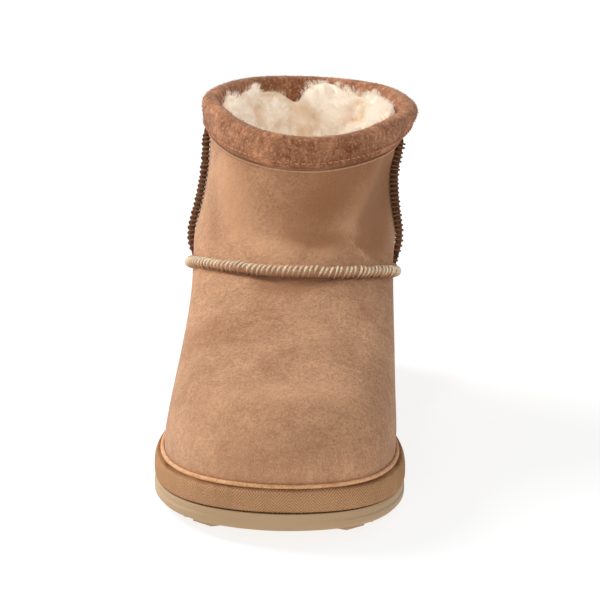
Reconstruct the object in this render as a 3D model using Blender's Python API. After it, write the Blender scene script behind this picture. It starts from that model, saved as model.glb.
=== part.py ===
"""Short sheepskin boot for the right foot, standing empty on its sole.

The boot is a lasted upper of suede-side-out sheepskin, closed underneath by a moulded sole. A fabric rand covers the
join, raised overlocked seams join its panels, a folded suede binding finishes the collar and fleece lines the inside.

Frame: metres, +Z up, the toe points along -Y, the medial side of the foot is +X. The origin is on the floor under
the middle of the heel. "Station" is the distance from the back of the sole towards its toe.
"""

import bisect
import functools
import math

import bmesh
import bpy
from mathutils import Vector

# Last: the driving sizes of the boot
SOLE_LENGTH = 0.268
BALL_WIDTH = 0.103
HEEL_ROUND = 0.037
TOE_ROUND = 0.046
INSTEP_HEIGHT = 0.081
COLLAR_HEIGHT = 0.129
SHAFT_WIDTH = 0.083
SHAFT_DEPTH = 0.118
HEEL_CENTRE = 0.038

# Sole
FORE_THICKNESS = 0.0085
HEEL_THICKNESS = 0.0140
TOE_SPRING = 0.0045
ARCH_RISE = 0.0025
SOLE_EDGE_ROUND = 0.0012
SOLE_STEP = 0.0008
TREAD_DEPTH = 0.0018
TREAD_BAR = 0.0085
TREAD_PITCH = 0.0135
TREAD_WAVE = 0.0030
TREAD_MARGIN = 0.0050
TREAD_HEEL_END = 0.0120
TREAD_TOE_END = 0.0095
TREAD_STEPS = 8

# Where the sole changes, as shares of its length: the arch and its ramps at the back and the front, the ramp from
# the heel down to the forefoot, the start of the toe spring, and the waist that has no tread
ARCH_BACK, ARCH_BACK_RAMP = 0.28, 0.10
ARCH_FRONT, ARCH_FRONT_RAMP = 0.58, 0.12
HEEL_RAMP = 0.30
SPRING_START = 0.70
BARE_WAIST = (0.34, 0.54)

# Sheet goods and clearances
GAP = 0.0003
FLEECE_GAP = 0.0005
SEAM_GAP = 0.0005
SKIN = 0.0026
PILE = 0.0075
FOOT_PILE = 0.0050
PILE_LUMP = 0.0022
FLEECE_DROP = 0.0100
FOOTBED = 0.0080
FOOTBED_EDGE = 0.0015

# Rand, binding, seams and counter
RAND_HEIGHT = 0.0105
RAND_THICKNESS = 0.0046
BINDING_HEIGHT = 0.0105
BINDING_INSIDE = 0.0085
BINDING_THICKNESS = 0.0017
BINDING_ROOM = max(BINDING_HEIGHT, BINDING_INSIDE) + 4 * GAP
SEAM_STAND = 0.0022
SEAM_THICKNESS = 0.0042
INSTEP_SEAM_THICKNESS = 0.0036
SIDE_SEAM_STEPS = 20
BACK_SEAM_STEPS = 10
COUNTER_HEIGHT = 0.036
COUNTER_REACH = 0.058
COUNTER_EDGE = 0.004
COUNTER_ROWS = 7
COUNTER_THICKNESS = 0.0015

# How far both sides of the collar rise, how far the medial side drops and the lateral side rises against that, and
# how wide the tips at its seams are
COLLAR_RISE = 0.0034
COLLAR_DIP = 0.0021
TIP_SPREAD = 0.017

# Stations of the side seams on the collar and at the rand, how late they turn back towards the collar, and the drop
# of the instep seam from front to side
SIDE_SEAM_COLLAR = 0.071
SIDE_SEAM_RAND = 0.118
SIDE_SEAM_BEND = 2.2
INSTEP_SEAM_DROP = 0.0090
INSTEP_SEAM_WAVE = 0.0020

# The wall of the upper starts this far inside the edge of the sole, which leaves room for the rand.
FEATHER_INSET = RAND_THICKNESS + 3 * GAP

# Points round each section of the boot, and the levels of the rows that the upper and its lining share
COLUMNS = 48
WALL_LEVELS = (0, 0.6, 1.3, 2.1, 3.0, 3.8, 4.6, 5.4, 6.2, 7.0, 7.8, 8.6, 9.3)

# Outline of the sole. Station: share of SOLE_LENGTH. Half: half width and centre: sideways shift towards the
# medial side, both as shares of half BALL_WIDTH.
OUTLINE = (
    # station, half, centre
    (0.06, 0.592, 0.000),
    (0.15, 0.722, 0.000),
    (0.28, 0.722, -0.015),
    (0.42, 0.728, -0.050),
    (0.55, 0.825, -0.060),
    (0.66, 0.955, -0.035),
    (0.74, 1.000, -0.005),
    (0.83, 0.955, 0.030),
    (0.91, 0.800, 0.065),
    (0.97, 0.515, 0.095),
    (1.00, 0.000, 0.105),
)

# Sections of the foot, from the feather line at the sole to the instep. Heights are shares of INSTEP_HEIGHT, at the
# back and at the front. Back and front: how far the section stands in from the feather's heel and toe, as shares of
# the foot's length. Swell widens the section. Foot: 1 has the outline of the sole, 0 is the oval of the shaft.
# Ground: how much the section follows the top of the sole. Lean: sideways shift towards the medial side, a share of
# half SHAFT_WIDTH.
FOOT_SECTIONS = (
    # height_back, height_front, back, front, swell, foot, ground, lean
    (0.000, 0.000, 0.000, 0.000, 1.000, 1.00, 1.00, 0.000),
    (0.155, 0.155, -0.007, -0.007, 1.020, 1.00, 0.90, 0.000),
    (0.285, 0.285, -0.009, -0.004, 1.010, 1.00, 0.80, 0.020),
    (0.430, 0.430, -0.008, 0.022, 0.994, 0.95, 0.65, 0.031),
    (0.575, 0.573, -0.002, 0.085, 0.993, 0.83, 0.50, 0.041),
    (0.720, 0.690, 0.008, 0.185, 1.010, 0.66, 0.35, 0.033),
    (0.873, 0.814, 0.018, 0.300, 1.030, 0.46, 0.20, 0.010),
    (1.007, 0.935, 0.024, 0.392, 1.070, 0.28, 0.10, -0.032),
)

# Sections of the shaft, from the instep to the collar. Heights are shares of the way up from INSTEP_HEIGHT to
# COLLAR_HEIGHT. Back is a share of the foot's length, depth a share of SHAFT_DEPTH, swell a share of SHAFT_WIDTH.
# Tip: how far the side seams draw the section out to the sides, a share of half SHAFT_WIDTH.
SHAFT_SECTIONS = (
    # height_back, height_front, back, depth, swell, foot, lean, tip
    (0.250, 0.110, 0.026, 1.145, 1.048, 0.15, -0.033, 0.000),
    (0.510, 0.380, 0.022, 1.065, 0.996, 0.07, -0.020, 0.000),
    (0.780, 0.680, 0.016, 1.025, 0.961, 0.02, -0.010, 0.010),
    (1.030, 1.000, 0.008, 1.000, 1.012, 0.00, 0.055, 0.075),
)
TOP = len(FOOT_SECTIONS) + len(SHAFT_SECTIONS) - 1

# Top edge of the fleece: how far it lies under the rim, as a share of FLEECE_DROP, round the collar from the heel by
# the lateral side. Between its puffs the edge drops, most at the parting beside the heel.
FLEECE_EDGE = (
    # degrees, drop
    (0.0, 0.160),
    (7.5, 0.480),
    (15.0, 0.960),
    (22.5, 0.640),
    (30.0, 0.360),
    (45.0, 0.280),
    (67.5, 0.330),
    (90.0, 0.300),
    (135.0, 0.230),
    (180.0, 0.200),
    (225.0, 0.250),
    (270.0, 0.400),
    (300.0, 0.460),
    (322.5, 0.420),
    (337.5, 0.600),
    (345.0, 0.280),
    (352.5, 0.140),
    (360.0, 0.160),
)

# The instep seam isn't quite level. Across: from -1 at the lateral side seam to 1 at the medial one. Rise: a share of
# INSTEP_SEAM_WAVE.
INSTEP_WAVE = (
    # across, rise
    (-1.00, -0.400),
    (-0.70, 1.000),
    (-0.35, 0.500),
    (-0.10, -0.500),
    (0.30, -0.650),
    (0.70, -0.850),
    (1.00, -1.100),
)

SUEDE = ("suede", (0.50, 0.27, 0.15), 0.95)
SUEDE_DARK = ("binding_suede", (0.36, 0.17, 0.085), 0.95)
SEAM_EDGE = ("seam_edge", (0.45, 0.23, 0.12), 0.9)
RAND_FABRIC = ("rand_fabric", (0.53, 0.28, 0.13), 0.9)
SOLE_FOAM = ("sole_foam", (0.45, 0.31, 0.20), 0.7)
FLEECE = ("fleece", (0.87, 0.76, 0.62), 1.0)


def smooth(x):
    """Smooth step from 0 to 1."""
    x = min(1.0, max(0.0, x))
    return x * x * (3 - 2 * x)


def mix(a, b, share):
    return a + (b - a) * share


def spline(knots, rows, at):
    """Cubic curve through the rows (tuples of numbers) placed at the knots, read at one place."""
    at = min(max(at, knots[0]), knots[-1])
    i = min(bisect.bisect_right(knots, at), len(knots) - 1) - 1

    def slope(k, column):
        a, b = max(k - 1, 0), min(k + 1, len(knots) - 1)
        return (rows[b][column] - rows[a][column]) / (knots[b] - knots[a])

    span = knots[i + 1] - knots[i]
    t = (at - knots[i]) / span
    h01 = t * t * (3 - 2 * t)
    h10 = t * (1 - t) ** 2
    h11 = t * t * (t - 1)
    return tuple(
        mix(rows[i][c], rows[i + 1][c], h01)
        + span * (h10 * slope(i, c) + h11 * slope(i + 1, c))
        for c in range(len(rows[0]))
    )


def round_end(radius):
    """Fullness of the outline at an end with this radius, as a share of half the ball width."""
    return math.sqrt(radius * SOLE_LENGTH / 2) / (BALL_WIDTH / 2)


def outline_rows():
    """Knots and rows (fullness, centre) of the outline. Fullness is the half width over the sine of the angle."""
    knots, rows = [0.0], [(round_end(HEEL_ROUND), 0.0)]
    for station, half, centre in OUTLINE[:-1]:
        sine = 2 * math.sqrt(station * (1 - station))
        knots.append(station)
        rows.append((half / sine, centre))
    knots.append(1.0)
    rows.append((round_end(TOE_ROUND), OUTLINE[-1][2]))
    return knots, rows


OUTLINE_KNOTS, OUTLINE_ROWS = outline_rows()


def outline(share):
    """Fullness and centre of the sole's outline, in metres, at a share of its length."""
    fullness, centre = spline(OUTLINE_KNOTS, OUTLINE_ROWS, share)
    return fullness * BALL_WIDTH / 2, centre * BALL_WIDTH / 2


def sole_line(station):
    """Height of the bottom line of the sole without its arch: flat, with the toe sprung up."""
    return TOE_SPRING * max(0.0, (station / SOLE_LENGTH - SPRING_START) / (1 - SPRING_START)) ** 2


def sole_bottom(station):
    """Underside of the sole: the bottom line with the arch under the waist and a small lift at the back edge."""
    share = station / SOLE_LENGTH
    arch = ARCH_RISE * smooth((share - ARCH_BACK) / ARCH_BACK_RAMP) * smooth((ARCH_FRONT - share) / ARCH_FRONT_RAMP)
    back = SOLE_EDGE_ROUND * max(0.0, 1 - share / 0.04) ** 2
    return sole_line(station) + arch + back


def sole_top(station):
    """Top of the sole, on which the upper, the rand and the footbed stand."""
    heel = smooth((ARCH_FRONT - station / SOLE_LENGTH) / HEEL_RAMP)
    return sole_line(station) + mix(FORE_THICKNESS, HEEL_THICKNESS, heel)


def place(station, x, z):
    return Vector((x, HEEL_CENTRE - station, z))


def share_of(theta):
    return (1 - math.cos(theta)) / 2


def section_rows():
    """The two section tables as one, in metres: height back and front, back, front, swell, foot, ground, lean,
    tip."""
    heel, toe = FEATHER_INSET, SOLE_LENGTH - FEATHER_INSET
    foot = toe - heel
    shaft = COLLAR_HEIGHT - INSTEP_HEIGHT
    rows = []
    for low, high, back, front, swell, likeness, ground, lean in FOOT_SECTIONS:
        rows.append((low * INSTEP_HEIGHT, high * INSTEP_HEIGHT, heel + back * foot, toe - front * foot,
                     swell, likeness, ground, lean * SHAFT_WIDTH / 2, 0.0))
    for low, high, back, depth, swell, likeness, lean, tip in SHAFT_SECTIONS:
        start = heel + back * foot
        rows.append((INSTEP_HEIGHT + low * shaft, INSTEP_HEIGHT + high * shaft, start, start + depth * SHAFT_DEPTH,
                     swell, likeness, 0.0, lean * SHAFT_WIDTH / 2, tip * SHAFT_WIDTH / 2))
    return rows


SECTION_ROWS = section_rows()
SECTION_KNOTS = list(range(TOP + 1))


def share_at(table, at):
    """A table of places and shares, read as a curve at one place."""
    return spline([knot for knot, _ in table], [(value,) for _, value in table], at)[0]


def seam_station(level):
    """Station of the side seams at a level."""
    return mix(SIDE_SEAM_RAND, SIDE_SEAM_COLLAR, (level / TOP) ** SIDE_SEAM_BEND)


def surface(theta, level):
    """Outer face of the upper. theta goes round from the heel (0) by the lateral side to the toe (pi) and back by
    the medial side; level goes up from the sole (0) to the collar (TOP)."""
    low, high, back, front, swell, likeness, ground, lean, tip = spline(SECTION_KNOTS, SECTION_ROWS, level)
    share, sine = share_of(theta), math.sin(theta)
    station = mix(back, front, share)
    fullness, centre = outline(share)
    half = swell * mix(SHAFT_WIDTH / 2, fullness - FEATHER_INSET, likeness) * abs(sine)
    half += tip * math.exp(-((station - seam_station(level)) / TIP_SPREAD) ** 2)
    rise = (COLLAR_DIP * sine + COLLAR_RISE * sine ** 2) * smooth((level - TOP + 3) / 3)
    x = lean + centre * likeness - math.copysign(half, sine)
    return place(station, x, mix(low, high, share) + ground * sole_top(station) + rise)


def normal(theta, level):
    """Outward normal of the upper, level with the ground at the feather line."""
    step = 1e-3
    around = surface(theta - step, level) - surface(theta + step, level)
    up = surface(theta, min(level + step, TOP)) - surface(theta, max(level - step, 0))
    n = up.cross(around).normalized()
    n.z *= smooth(level / 1.5)
    return n.normalized()


def offset(theta, level, distance):
    """Point at a distance from the upper's outer face; inside the wall where it is negative."""
    point = surface(theta, level) + normal(theta, level) * distance
    if level == 0:
        point.z = sole_top(HEEL_CENTRE - point.y) + GAP
    return point


def climb(theta, level, distance):
    """The level that lies this far up the upper's face from a level; down where it is negative."""
    step = 0.02
    while abs(distance) > 1e-9:
        here = surface(theta, level)
        length = (surface(theta, level + math.copysign(step, distance)) - here).length
        move = min(1.0, abs(distance) / length)
        level += math.copysign(move * step, distance)
        distance -= math.copysign(move * length, distance)
    return level


def rim_level(theta, down):
    """The level that lies this far down the face from the collar."""
    return climb(theta, TOP, -down)


def column_angle(column):
    return 2 * math.pi * column / COLUMNS


@functools.lru_cache(maxsize=None)
def wall_rows(column):
    """Levels of the upper's rows in one column, from the sole to the collar."""
    theta = column_angle(column)
    return (*WALL_LEVELS, rim_level(theta, BINDING_ROOM), rim_level(theta, BINDING_HEIGHT / 2), TOP)


def on_column(column, level, distance):
    rows = wall_rows(column % COLUMNS)
    i = min(max(bisect.bisect_right(rows, level), 1), len(rows) - 1)
    theta = column_angle(column)
    share = (level - rows[i - 1]) / (rows[i] - rows[i - 1])
    return offset(theta, rows[i - 1], distance).lerp(offset(theta, rows[i], distance), share)


def on_wall(theta, level, distance):
    """Point at a distance from the flat facets of the wall, for the pieces that lie against it."""
    place_round = theta / column_angle(1)
    column = math.floor(place_round)
    before, after = on_column(column, level, distance), on_column(column + 1, level, distance)
    return before.lerp(after, place_round - column)


def sidestep(theta, level, distance):
    """The angle that lies this far round the wall from an angle."""
    step = 1e-3
    return theta + distance * step / (surface(theta + step, level) - surface(theta, level)).length


def material(name, colour, roughness):
    found = bpy.data.materials.get(name)
    if found:
        return found
    made = bpy.data.materials.new(name)
    made.use_nodes = True
    shader = made.node_tree.nodes["Principled BSDF"]
    shader.inputs["Base Color"].default_value = (*colour, 1)
    shader.inputs["Roughness"].default_value = roughness
    shader.inputs["Metallic"].default_value = 0
    return made


def loft(name, sections, finish, ring=False):
    """A closed solid through sections, each a closed polygon of as many points. A ring joins its last section to
    its first; otherwise both ends are capped."""
    mesh = bmesh.new()
    loops = [[mesh.verts.new(point) for point in section] for section in sections]
    count = len(loops[0])
    for i in range(len(loops) if ring else len(loops) - 1):
        here, after = loops[i], loops[(i + 1) % len(loops)]
        for k in range(count):
            mesh.faces.new((here[k], here[(k + 1) % count], after[(k + 1) % count], after[k]))
    if not ring:
        mesh.faces.new(loops[0][::-1])
        mesh.faces.new(loops[-1])
    bmesh.ops.remove_doubles(mesh, verts=mesh.verts, dist=1e-6)
    bmesh.ops.recalc_face_normals(mesh, faces=mesh.faces)
    data = bpy.data.meshes.new(name)
    mesh.to_mesh(data)
    mesh.free()
    data.materials.append(material(*finish))
    data.shade_smooth()
    data.set_sharp_from_angle(angle=math.radians(40))
    made = bpy.data.objects.new(name, data)
    boot.objects.link(made)
    return made


def slab_section(station, left, right, inset, edges):
    """Cross-section of a sole slab between its left and right edges. Edges: (inward shift, height) from the bottom up."""
    shift = inset if abs(right - left) > 1e-6 else 0
    points = [place(station, left + edge * shift, height) for edge, height in edges]
    return points + [place(station, right - edge * shift, height) for edge, height in reversed(edges)]


def build_outsole():
    """The moulded sole: a tapering slab with a rounded lower edge, a stepped upper edge and wavy tread bars."""
    sections = []
    for i in range(COLUMNS // 2 + 1):
        theta = 2 * math.pi * i / COLUMNS
        share = share_of(theta)
        station = share * SOLE_LENGTH
        fullness, centre = outline(share)
        half = fullness * math.sin(theta)
        inset = min(1.0, half / (3 * SOLE_EDGE_ROUND))
        floor, top = sole_bottom(station) + TREAD_DEPTH, sole_top(station)
        waist = mix(floor, top, 0.5)
        sections.append(slab_section(station, centre - half, centre + half, inset, (
            (SOLE_EDGE_ROUND, floor),
            (0.0, floor + SOLE_EDGE_ROUND),
            (0.0, waist),
            (SOLE_STEP / 2, waist + SOLE_STEP / 2),
            (SOLE_STEP / 2, top - SOLE_STEP),
            (SOLE_STEP, top),
        )))
    body = loft("outsole", sections, SOLE_FOAM)
    for bar in tread_bars():
        union(body, bar)
    return body


def tread_bars():
    """Wavy bars across the heel and the forefoot, each a strip between two wavy edges, clear of the sole's edge."""
    bars = []
    first, last = TREAD_HEEL_END, SOLE_LENGTH - TREAD_TOE_END
    count = int((last - first) / TREAD_PITCH)
    for k in range(count):
        middle = first + (k + 0.5) * (last - first) / count
        if BARE_WAIST[0] < middle / SOLE_LENGTH < BARE_WAIST[1]:
            continue
        sections = []
        for i in range(TREAD_STEPS + 1):
            across = 2 * i / TREAD_STEPS - 1
            wave = TREAD_WAVE * math.cos(1.5 * math.pi * across)
            section = []
            for side in (-0.5, 0.5):
                station = middle + wave + side * TREAD_BAR
                share = station / SOLE_LENGTH
                fullness, centre = outline(share)
                half = fullness * 2 * math.sqrt(share * (1 - share)) - TREAD_MARGIN
                x = centre + across * half
                floor = sole_bottom(station)
                section.append((place(station, x, floor), place(station, x, floor + 2 * TREAD_DEPTH)))
            (back_low, back_high), (front_low, front_high) = section
            sections.append((back_low, back_high, front_high, front_low))
        bars.append(loft(f"tread_bar_{k}", sections, SOLE_FOAM))
    return bars


def union(body, other):
    """Joins another solid to the body, and removes it."""
    join = body.modifiers.new("join", "BOOLEAN")
    join.operation = "UNION"
    join.solver = "EXACT"
    join.object = other
    graph = bpy.context.evaluated_depsgraph_get()
    joined = bpy.data.meshes.new_from_object(body.evaluated_get(graph))
    body.modifiers.remove(join)
    body.data = joined
    bpy.data.objects.remove(other)


def build_footbed():
    """The sheepskin footbed, cut to lie inside the lining on top of the sole."""
    inset = SKIN + FOOT_PILE + 3 * GAP
    sections = []
    for i in range(COLUMNS // 2 + 1):
        theta = 2 * math.pi * i / COLUMNS
        left, right = offset(theta, 0, -inset), offset(-theta, 0, -inset)
        station = HEEL_CENTRE - (left.y + right.y) / 2
        width = right.x - left.x
        edge = min(FOOTBED_EDGE, width / 4)
        low = sole_top(station) + GAP
        sections.append([
            place(station, left.x, low),
            place(station, left.x, low + FOOTBED * 0.75),
            place(station, left.x + edge, low + FOOTBED),
            place(station, right.x - edge, low + FOOTBED),
            place(station, right.x, low + FOOTBED * 0.75),
            place(station, right.x, low),
        ])
    return loft("footbed", sections, FLEECE)


def build_upper():
    """The sheepskin upper: one hollow shell, open at the collar and underneath."""
    sections = []
    for column in range(COLUMNS):
        theta, rows = column_angle(column), wall_rows(column)
        outside = [offset(theta, level, 0) for level in rows]
        inside = [offset(theta, level, -SKIN) for level in rows]
        sections.append(outside + inside[::-1])
    return loft("upper", sections, SUEDE, ring=True)


def build_rand():
    """The fabric rand: a padded band round the join of upper and sole, rolled over at its top edge."""
    profile = (
        # share of the height, share of the thickness
        (0.00, 0.96),
        (0.12, 1.00),
        (0.55, 1.00),
        (0.80, 0.90),
        (0.94, 0.66),
        (1.00, 0.30),
    )
    sections = []
    for theta in map(column_angle, range(COLUMNS)):
        outward = normal(theta, 0)
        wall = [offset(theta, climb(theta, 0, up * RAND_HEIGHT) if up else 0, GAP) for up, _ in profile]
        section = []
        for (up, thick), back in zip(profile, wall):
            point = wall[0] + outward * (thick * RAND_THICKNESS)
            point.z = sole_top(HEEL_CENTRE - point.y) + GAP + back.z - wall[0].z
            section.append(point)
        section.append(wall[-1])
        sections.append(section + wall[-2::-1])
    return loft("rand", sections, RAND_FABRIC, ring=True)


def build_binding():
    """The folded suede binding over the collar's edge: an outer leg, a rounded rim and an inner leg."""
    outer, inner = GAP, -SKIN - GAP
    sections = []
    for theta in map(column_angle, range(COLUMNS)):
        rim, out = surface(theta, TOP), normal(theta, TOP)
        up = (rim - surface(theta, TOP - 0.05)).normalized()

        def over(distance, height):
            return rim + out * distance + up * height

        low = rim_level(theta, BINDING_HEIGHT)
        middle = rim_level(theta, BINDING_HEIGHT / 2)
        low_in = rim_level(theta, BINDING_INSIDE)
        thick = BINDING_THICKNESS
        sections.append([
            offset(theta, low, outer),
            offset(theta, low, outer + thick * 0.7),
            offset(theta, middle, outer + thick),
            over(outer + thick, 0),
            over(outer + thick * 0.3, thick),
            over(-SKIN / 2, GAP + thick * 1.2),
            over(inner - thick * 0.3, thick),
            over(inner - thick, 0),
            offset(theta, middle, inner - thick),
            offset(theta, low_in, inner - thick * 0.7),
            offset(theta, low_in, inner),
            offset(theta, middle, inner),
            over(inner, GAP),
            over(outer, GAP),
            offset(theta, middle, outer),
        ])
    return loft("collar_binding", sections, SUEDE_DARK, ring=True)


def lump(theta, level):
    """Locks of the fleece, from -1 to 1: rounded tufts in staggered rows."""
    row = math.cos(2.4 * math.pi * level)
    tuft = math.cos(11 * theta) * row + 0.5 * math.cos(7 * theta + 2.1 * level)
    return tuft / 1.5


def build_lining():
    """The fleece lining, from the footbed up to just under the rim, thick in the shaft and thinner in the foot."""
    sections = []
    for theta in map(column_angle, range(COLUMNS)):
        under = rim_level(theta, BINDING_ROOM)
        top = rim_level(theta, FLEECE_DROP * share_at(FLEECE_EDGE, math.degrees(theta)))
        wall = [(level, SKIN + FLEECE_GAP) for level in WALL_LEVELS]
        wall += [(under, SKIN + FLEECE_GAP), (under, SKIN + BINDING_THICKNESS + 3 * GAP)]
        wall += [(top, SKIN + BINDING_THICKNESS + 3 * GAP)]
        deep = []
        for level in (*WALL_LEVELS, under, top):
            pile = mix(FOOT_PILE, PILE, smooth((level - 4) / 4))
            lumps = PILE_LUMP * smooth((level - 1) / 5) * lump(theta, level)
            end = 0.62 if level == top else 1.0
            deep.append((level, SKIN + GAP + (pile + lumps) * end))
        sections.append([offset(theta, level, -depth) for level, depth in wall + deep[::-1]])
    return loft("fleece_lining", sections, FLEECE, ring=True)


def seam_theta(side, level):
    """Angle of the side seam at a level. Side is 1 on the lateral and -1 on the medial side."""
    row = spline(SECTION_KNOTS, SECTION_ROWS, level)
    share = (seam_station(level) - row[2]) / (row[3] - row[2])
    return side * math.acos(1 - 2 * share)


def raised_seam(name, edges):
    """Two edges of suede sewn together and standing out from the wall. Edges: the (angle, level) of either side
    of the seam, a pair for each section along it."""
    sections = []
    for one, other in edges:
        middle = tuple(mix(a, b, 0.5) for a, b in zip(one, other))
        foot = [on_wall(*edge, SEAM_GAP) for edge in (one, middle, other)]
        shoulder = [on_wall(*edge, SEAM_GAP + 0.7 * SEAM_STAND) for edge in (one, other)]
        crest = [on_wall(*edge, SEAM_GAP + SEAM_STAND) for edge in (one, other)]
        sections.append([foot[0], shoulder[0], crest[0].lerp(crest[1], 0.25), crest[0].lerp(crest[1], 0.75),
                         shoulder[1], foot[2], foot[1]])
    return loft(name, sections, SEAM_EDGE)


def upright_seam(name, angle, start, end, steps):
    """A seam that climbs the wall from one level to another, at the angle that a function gives for each level."""
    edges = []
    for i in range(steps + 1):
        level = mix(start, end, i / steps)
        edges.append([(sidestep(angle(level), level, side * SEAM_THICKNESS / 2), level) for side in (-1, 1)])
    return raised_seam(name, edges)


def build_side_seam(name, side):
    """A side seam from the rand up to the binding."""
    start = climb(seam_theta(side, 1), 0, RAND_HEIGHT + 4 * GAP)
    end = rim_level(seam_theta(side, TOP), BINDING_HEIGHT + 2 * GAP)
    return upright_seam(name, lambda level: seam_theta(side, level), start, end, SIDE_SEAM_STEPS)


def instep_level(height, angle):
    """Level at which the upper has this height, at the angle that a function gives for each level."""
    low, high = 3.0, float(TOP)
    for _ in range(40):
        level = (low + high) / 2
        if surface(angle(level), level).z < height:
            low = level
        else:
            high = level
    return level


def build_instep_seam():
    """The seam across the instep, between vamp and shaft, which drops from the front to the side seams."""
    side_level = instep_level(INSTEP_HEIGHT - INSTEP_SEAM_DROP, lambda level: seam_theta(1, level))
    front_level = instep_level(INSTEP_HEIGHT, lambda level: math.pi)

    def end_angle(level):
        return sidestep(seam_theta(1, level), level, SEAM_THICKNESS / 2 + 3 * GAP)

    reach = math.pi - end_angle(side_level)
    widest = reach - column_angle(1) / 2
    inner = [column_angle(c) for c in range(COLUMNS) if abs(column_angle(c) - math.pi) < widest]
    edges = []
    for theta in (math.pi - reach, *inner, math.pi + reach):
        across = (theta - math.pi) / reach
        middle = mix(front_level, side_level, abs(across) ** 1.8)
        wave = INSTEP_SEAM_WAVE * share_at(INSTEP_WAVE, across)
        pair = []
        for side in (-1, 1):
            level = climb(theta, middle, wave + side * INSTEP_SEAM_THICKNESS / 2)
            at_end = abs(across) > 0.999
            angle = math.pi + across * (math.pi - end_angle(level)) if at_end else theta
            pair.append((angle, level))
        edges.append(pair)
    return raised_seam("seam_instep", edges)


def build_counter():
    """The heel counter: an arched patch of suede on the back of the heel, on the upper's own columns."""
    outer = GAP + COUNTER_THICKNESS
    reach = math.acos(1 - 2 * COUNTER_REACH / (SOLE_LENGTH - 2 * FEATHER_INSET))
    span = int(reach / column_angle(1))
    sections = []
    for column in range(-span, span + 1):
        theta = column_angle(column)
        forward = share_of(theta) / share_of(column_angle(span))
        low = climb(theta, 0, RAND_HEIGHT + 3 * GAP)
        arch = mix(COUNTER_EDGE, COUNTER_HEIGHT, (1 - forward ** 1.6) ** 0.7)
        heights = [climb(theta, low, arch * row / COUNTER_ROWS) for row in range(COUNTER_ROWS + 1)]
        section = [on_wall(theta, level, GAP) for level in heights]
        section += [on_wall(theta, level, outer) for level in reversed(heights)]
        sections.append(section)
    return loft("heel_counter", sections, SUEDE)


def build_back_seam():
    """The seam up the back of the shaft, from the counter to the binding."""
    start = climb(0, climb(0, 0, RAND_HEIGHT + 3 * GAP), COUNTER_HEIGHT + 2 * GAP)
    end = rim_level(0, BINDING_HEIGHT + 2 * GAP)
    return upright_seam("seam_back", lambda level: 0.0, start, end, BACK_SEAM_STEPS)


for old in list(bpy.data.objects):
    bpy.data.objects.remove(old)
boot = bpy.data.collections.new("sheepskin_boot")
bpy.context.scene.collection.children.link(boot)

build_outsole()
build_footbed()
build_upper()
build_rand()
build_binding()
build_lining()
build_counter()
build_back_seam()
build_instep_seam()
build_side_seam("seam_side_lateral", 1)
build_side_seam("seam_side_medial", -1)
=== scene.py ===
"""Finish of a short sheepskin boot for the right foot: suede, fabric rand, sewn seams, binding and fleece.

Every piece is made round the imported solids, in metres and in their frame: the toe points along -Y, +X is
the medial side and the floor is at z = 0. A "spot" is a place given in the boot's own sizes: sideways as a
share of half the sole's width, along as a share of the sole's length from the heel, and up as a share of the
upper's height.
"""

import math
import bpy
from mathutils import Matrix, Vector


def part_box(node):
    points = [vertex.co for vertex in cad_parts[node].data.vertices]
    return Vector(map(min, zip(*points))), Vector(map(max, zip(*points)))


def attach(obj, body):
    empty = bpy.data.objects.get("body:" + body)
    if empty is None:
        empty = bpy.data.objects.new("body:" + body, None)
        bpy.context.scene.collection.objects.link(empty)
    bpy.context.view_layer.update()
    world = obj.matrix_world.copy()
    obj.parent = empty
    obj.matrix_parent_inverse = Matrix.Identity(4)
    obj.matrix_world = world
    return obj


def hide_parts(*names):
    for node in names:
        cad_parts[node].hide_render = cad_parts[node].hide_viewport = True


bl_info = {
    "name": "Sheepskin Boot Finish",
    "version": (1, 0, 0),
    "blender": (4, 5, 0),
    "location": "3D View > Sidebar > Boot",
    "description": "Dresses the solids of a short sheepskin boot in suede, fabric, thread and fleece",
    "category": "Object",
}

import bmesh
import bpy
import numpy as np
from bpy.props import FloatProperty, FloatVectorProperty, IntProperty, PointerProperty
from mathutils import Vector, noise
from mathutils.bvhtree import BVHTree

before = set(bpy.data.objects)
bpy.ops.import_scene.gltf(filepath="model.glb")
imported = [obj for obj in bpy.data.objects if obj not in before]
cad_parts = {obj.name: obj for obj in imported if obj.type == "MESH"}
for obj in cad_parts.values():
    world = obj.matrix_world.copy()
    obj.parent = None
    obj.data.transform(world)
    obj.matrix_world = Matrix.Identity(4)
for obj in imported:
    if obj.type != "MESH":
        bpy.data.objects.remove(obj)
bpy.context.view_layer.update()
SOLE_LOW, SOLE_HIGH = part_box("outsole")
SOLE_LENGTH = SOLE_HIGH.y - SOLE_LOW.y
HALF_WIDTH = (SOLE_HIGH.x - SOLE_LOW.x) / 2
UPPER_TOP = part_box("upper")[1].z

# Middle lines that slices turn round, as spots: the whole boot, its shaft and its heel
BOOT_MIDDLE = (0.0, 0.50, 0.0)
SHAFT_MIDDLE = (0.0, 0.30, 0.0)
HEEL_MIDDLE = (0.0, 0.20, 0.0)

# The line inside the boot from its toe up to its collar, from which the wall's folds go in and out
SPINE = ((0.10, 0.85, 0.16), (0.0, 0.55, 0.26), (0.0, 0.32, 0.42), (0.0, 0.30, 1.02))

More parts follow.
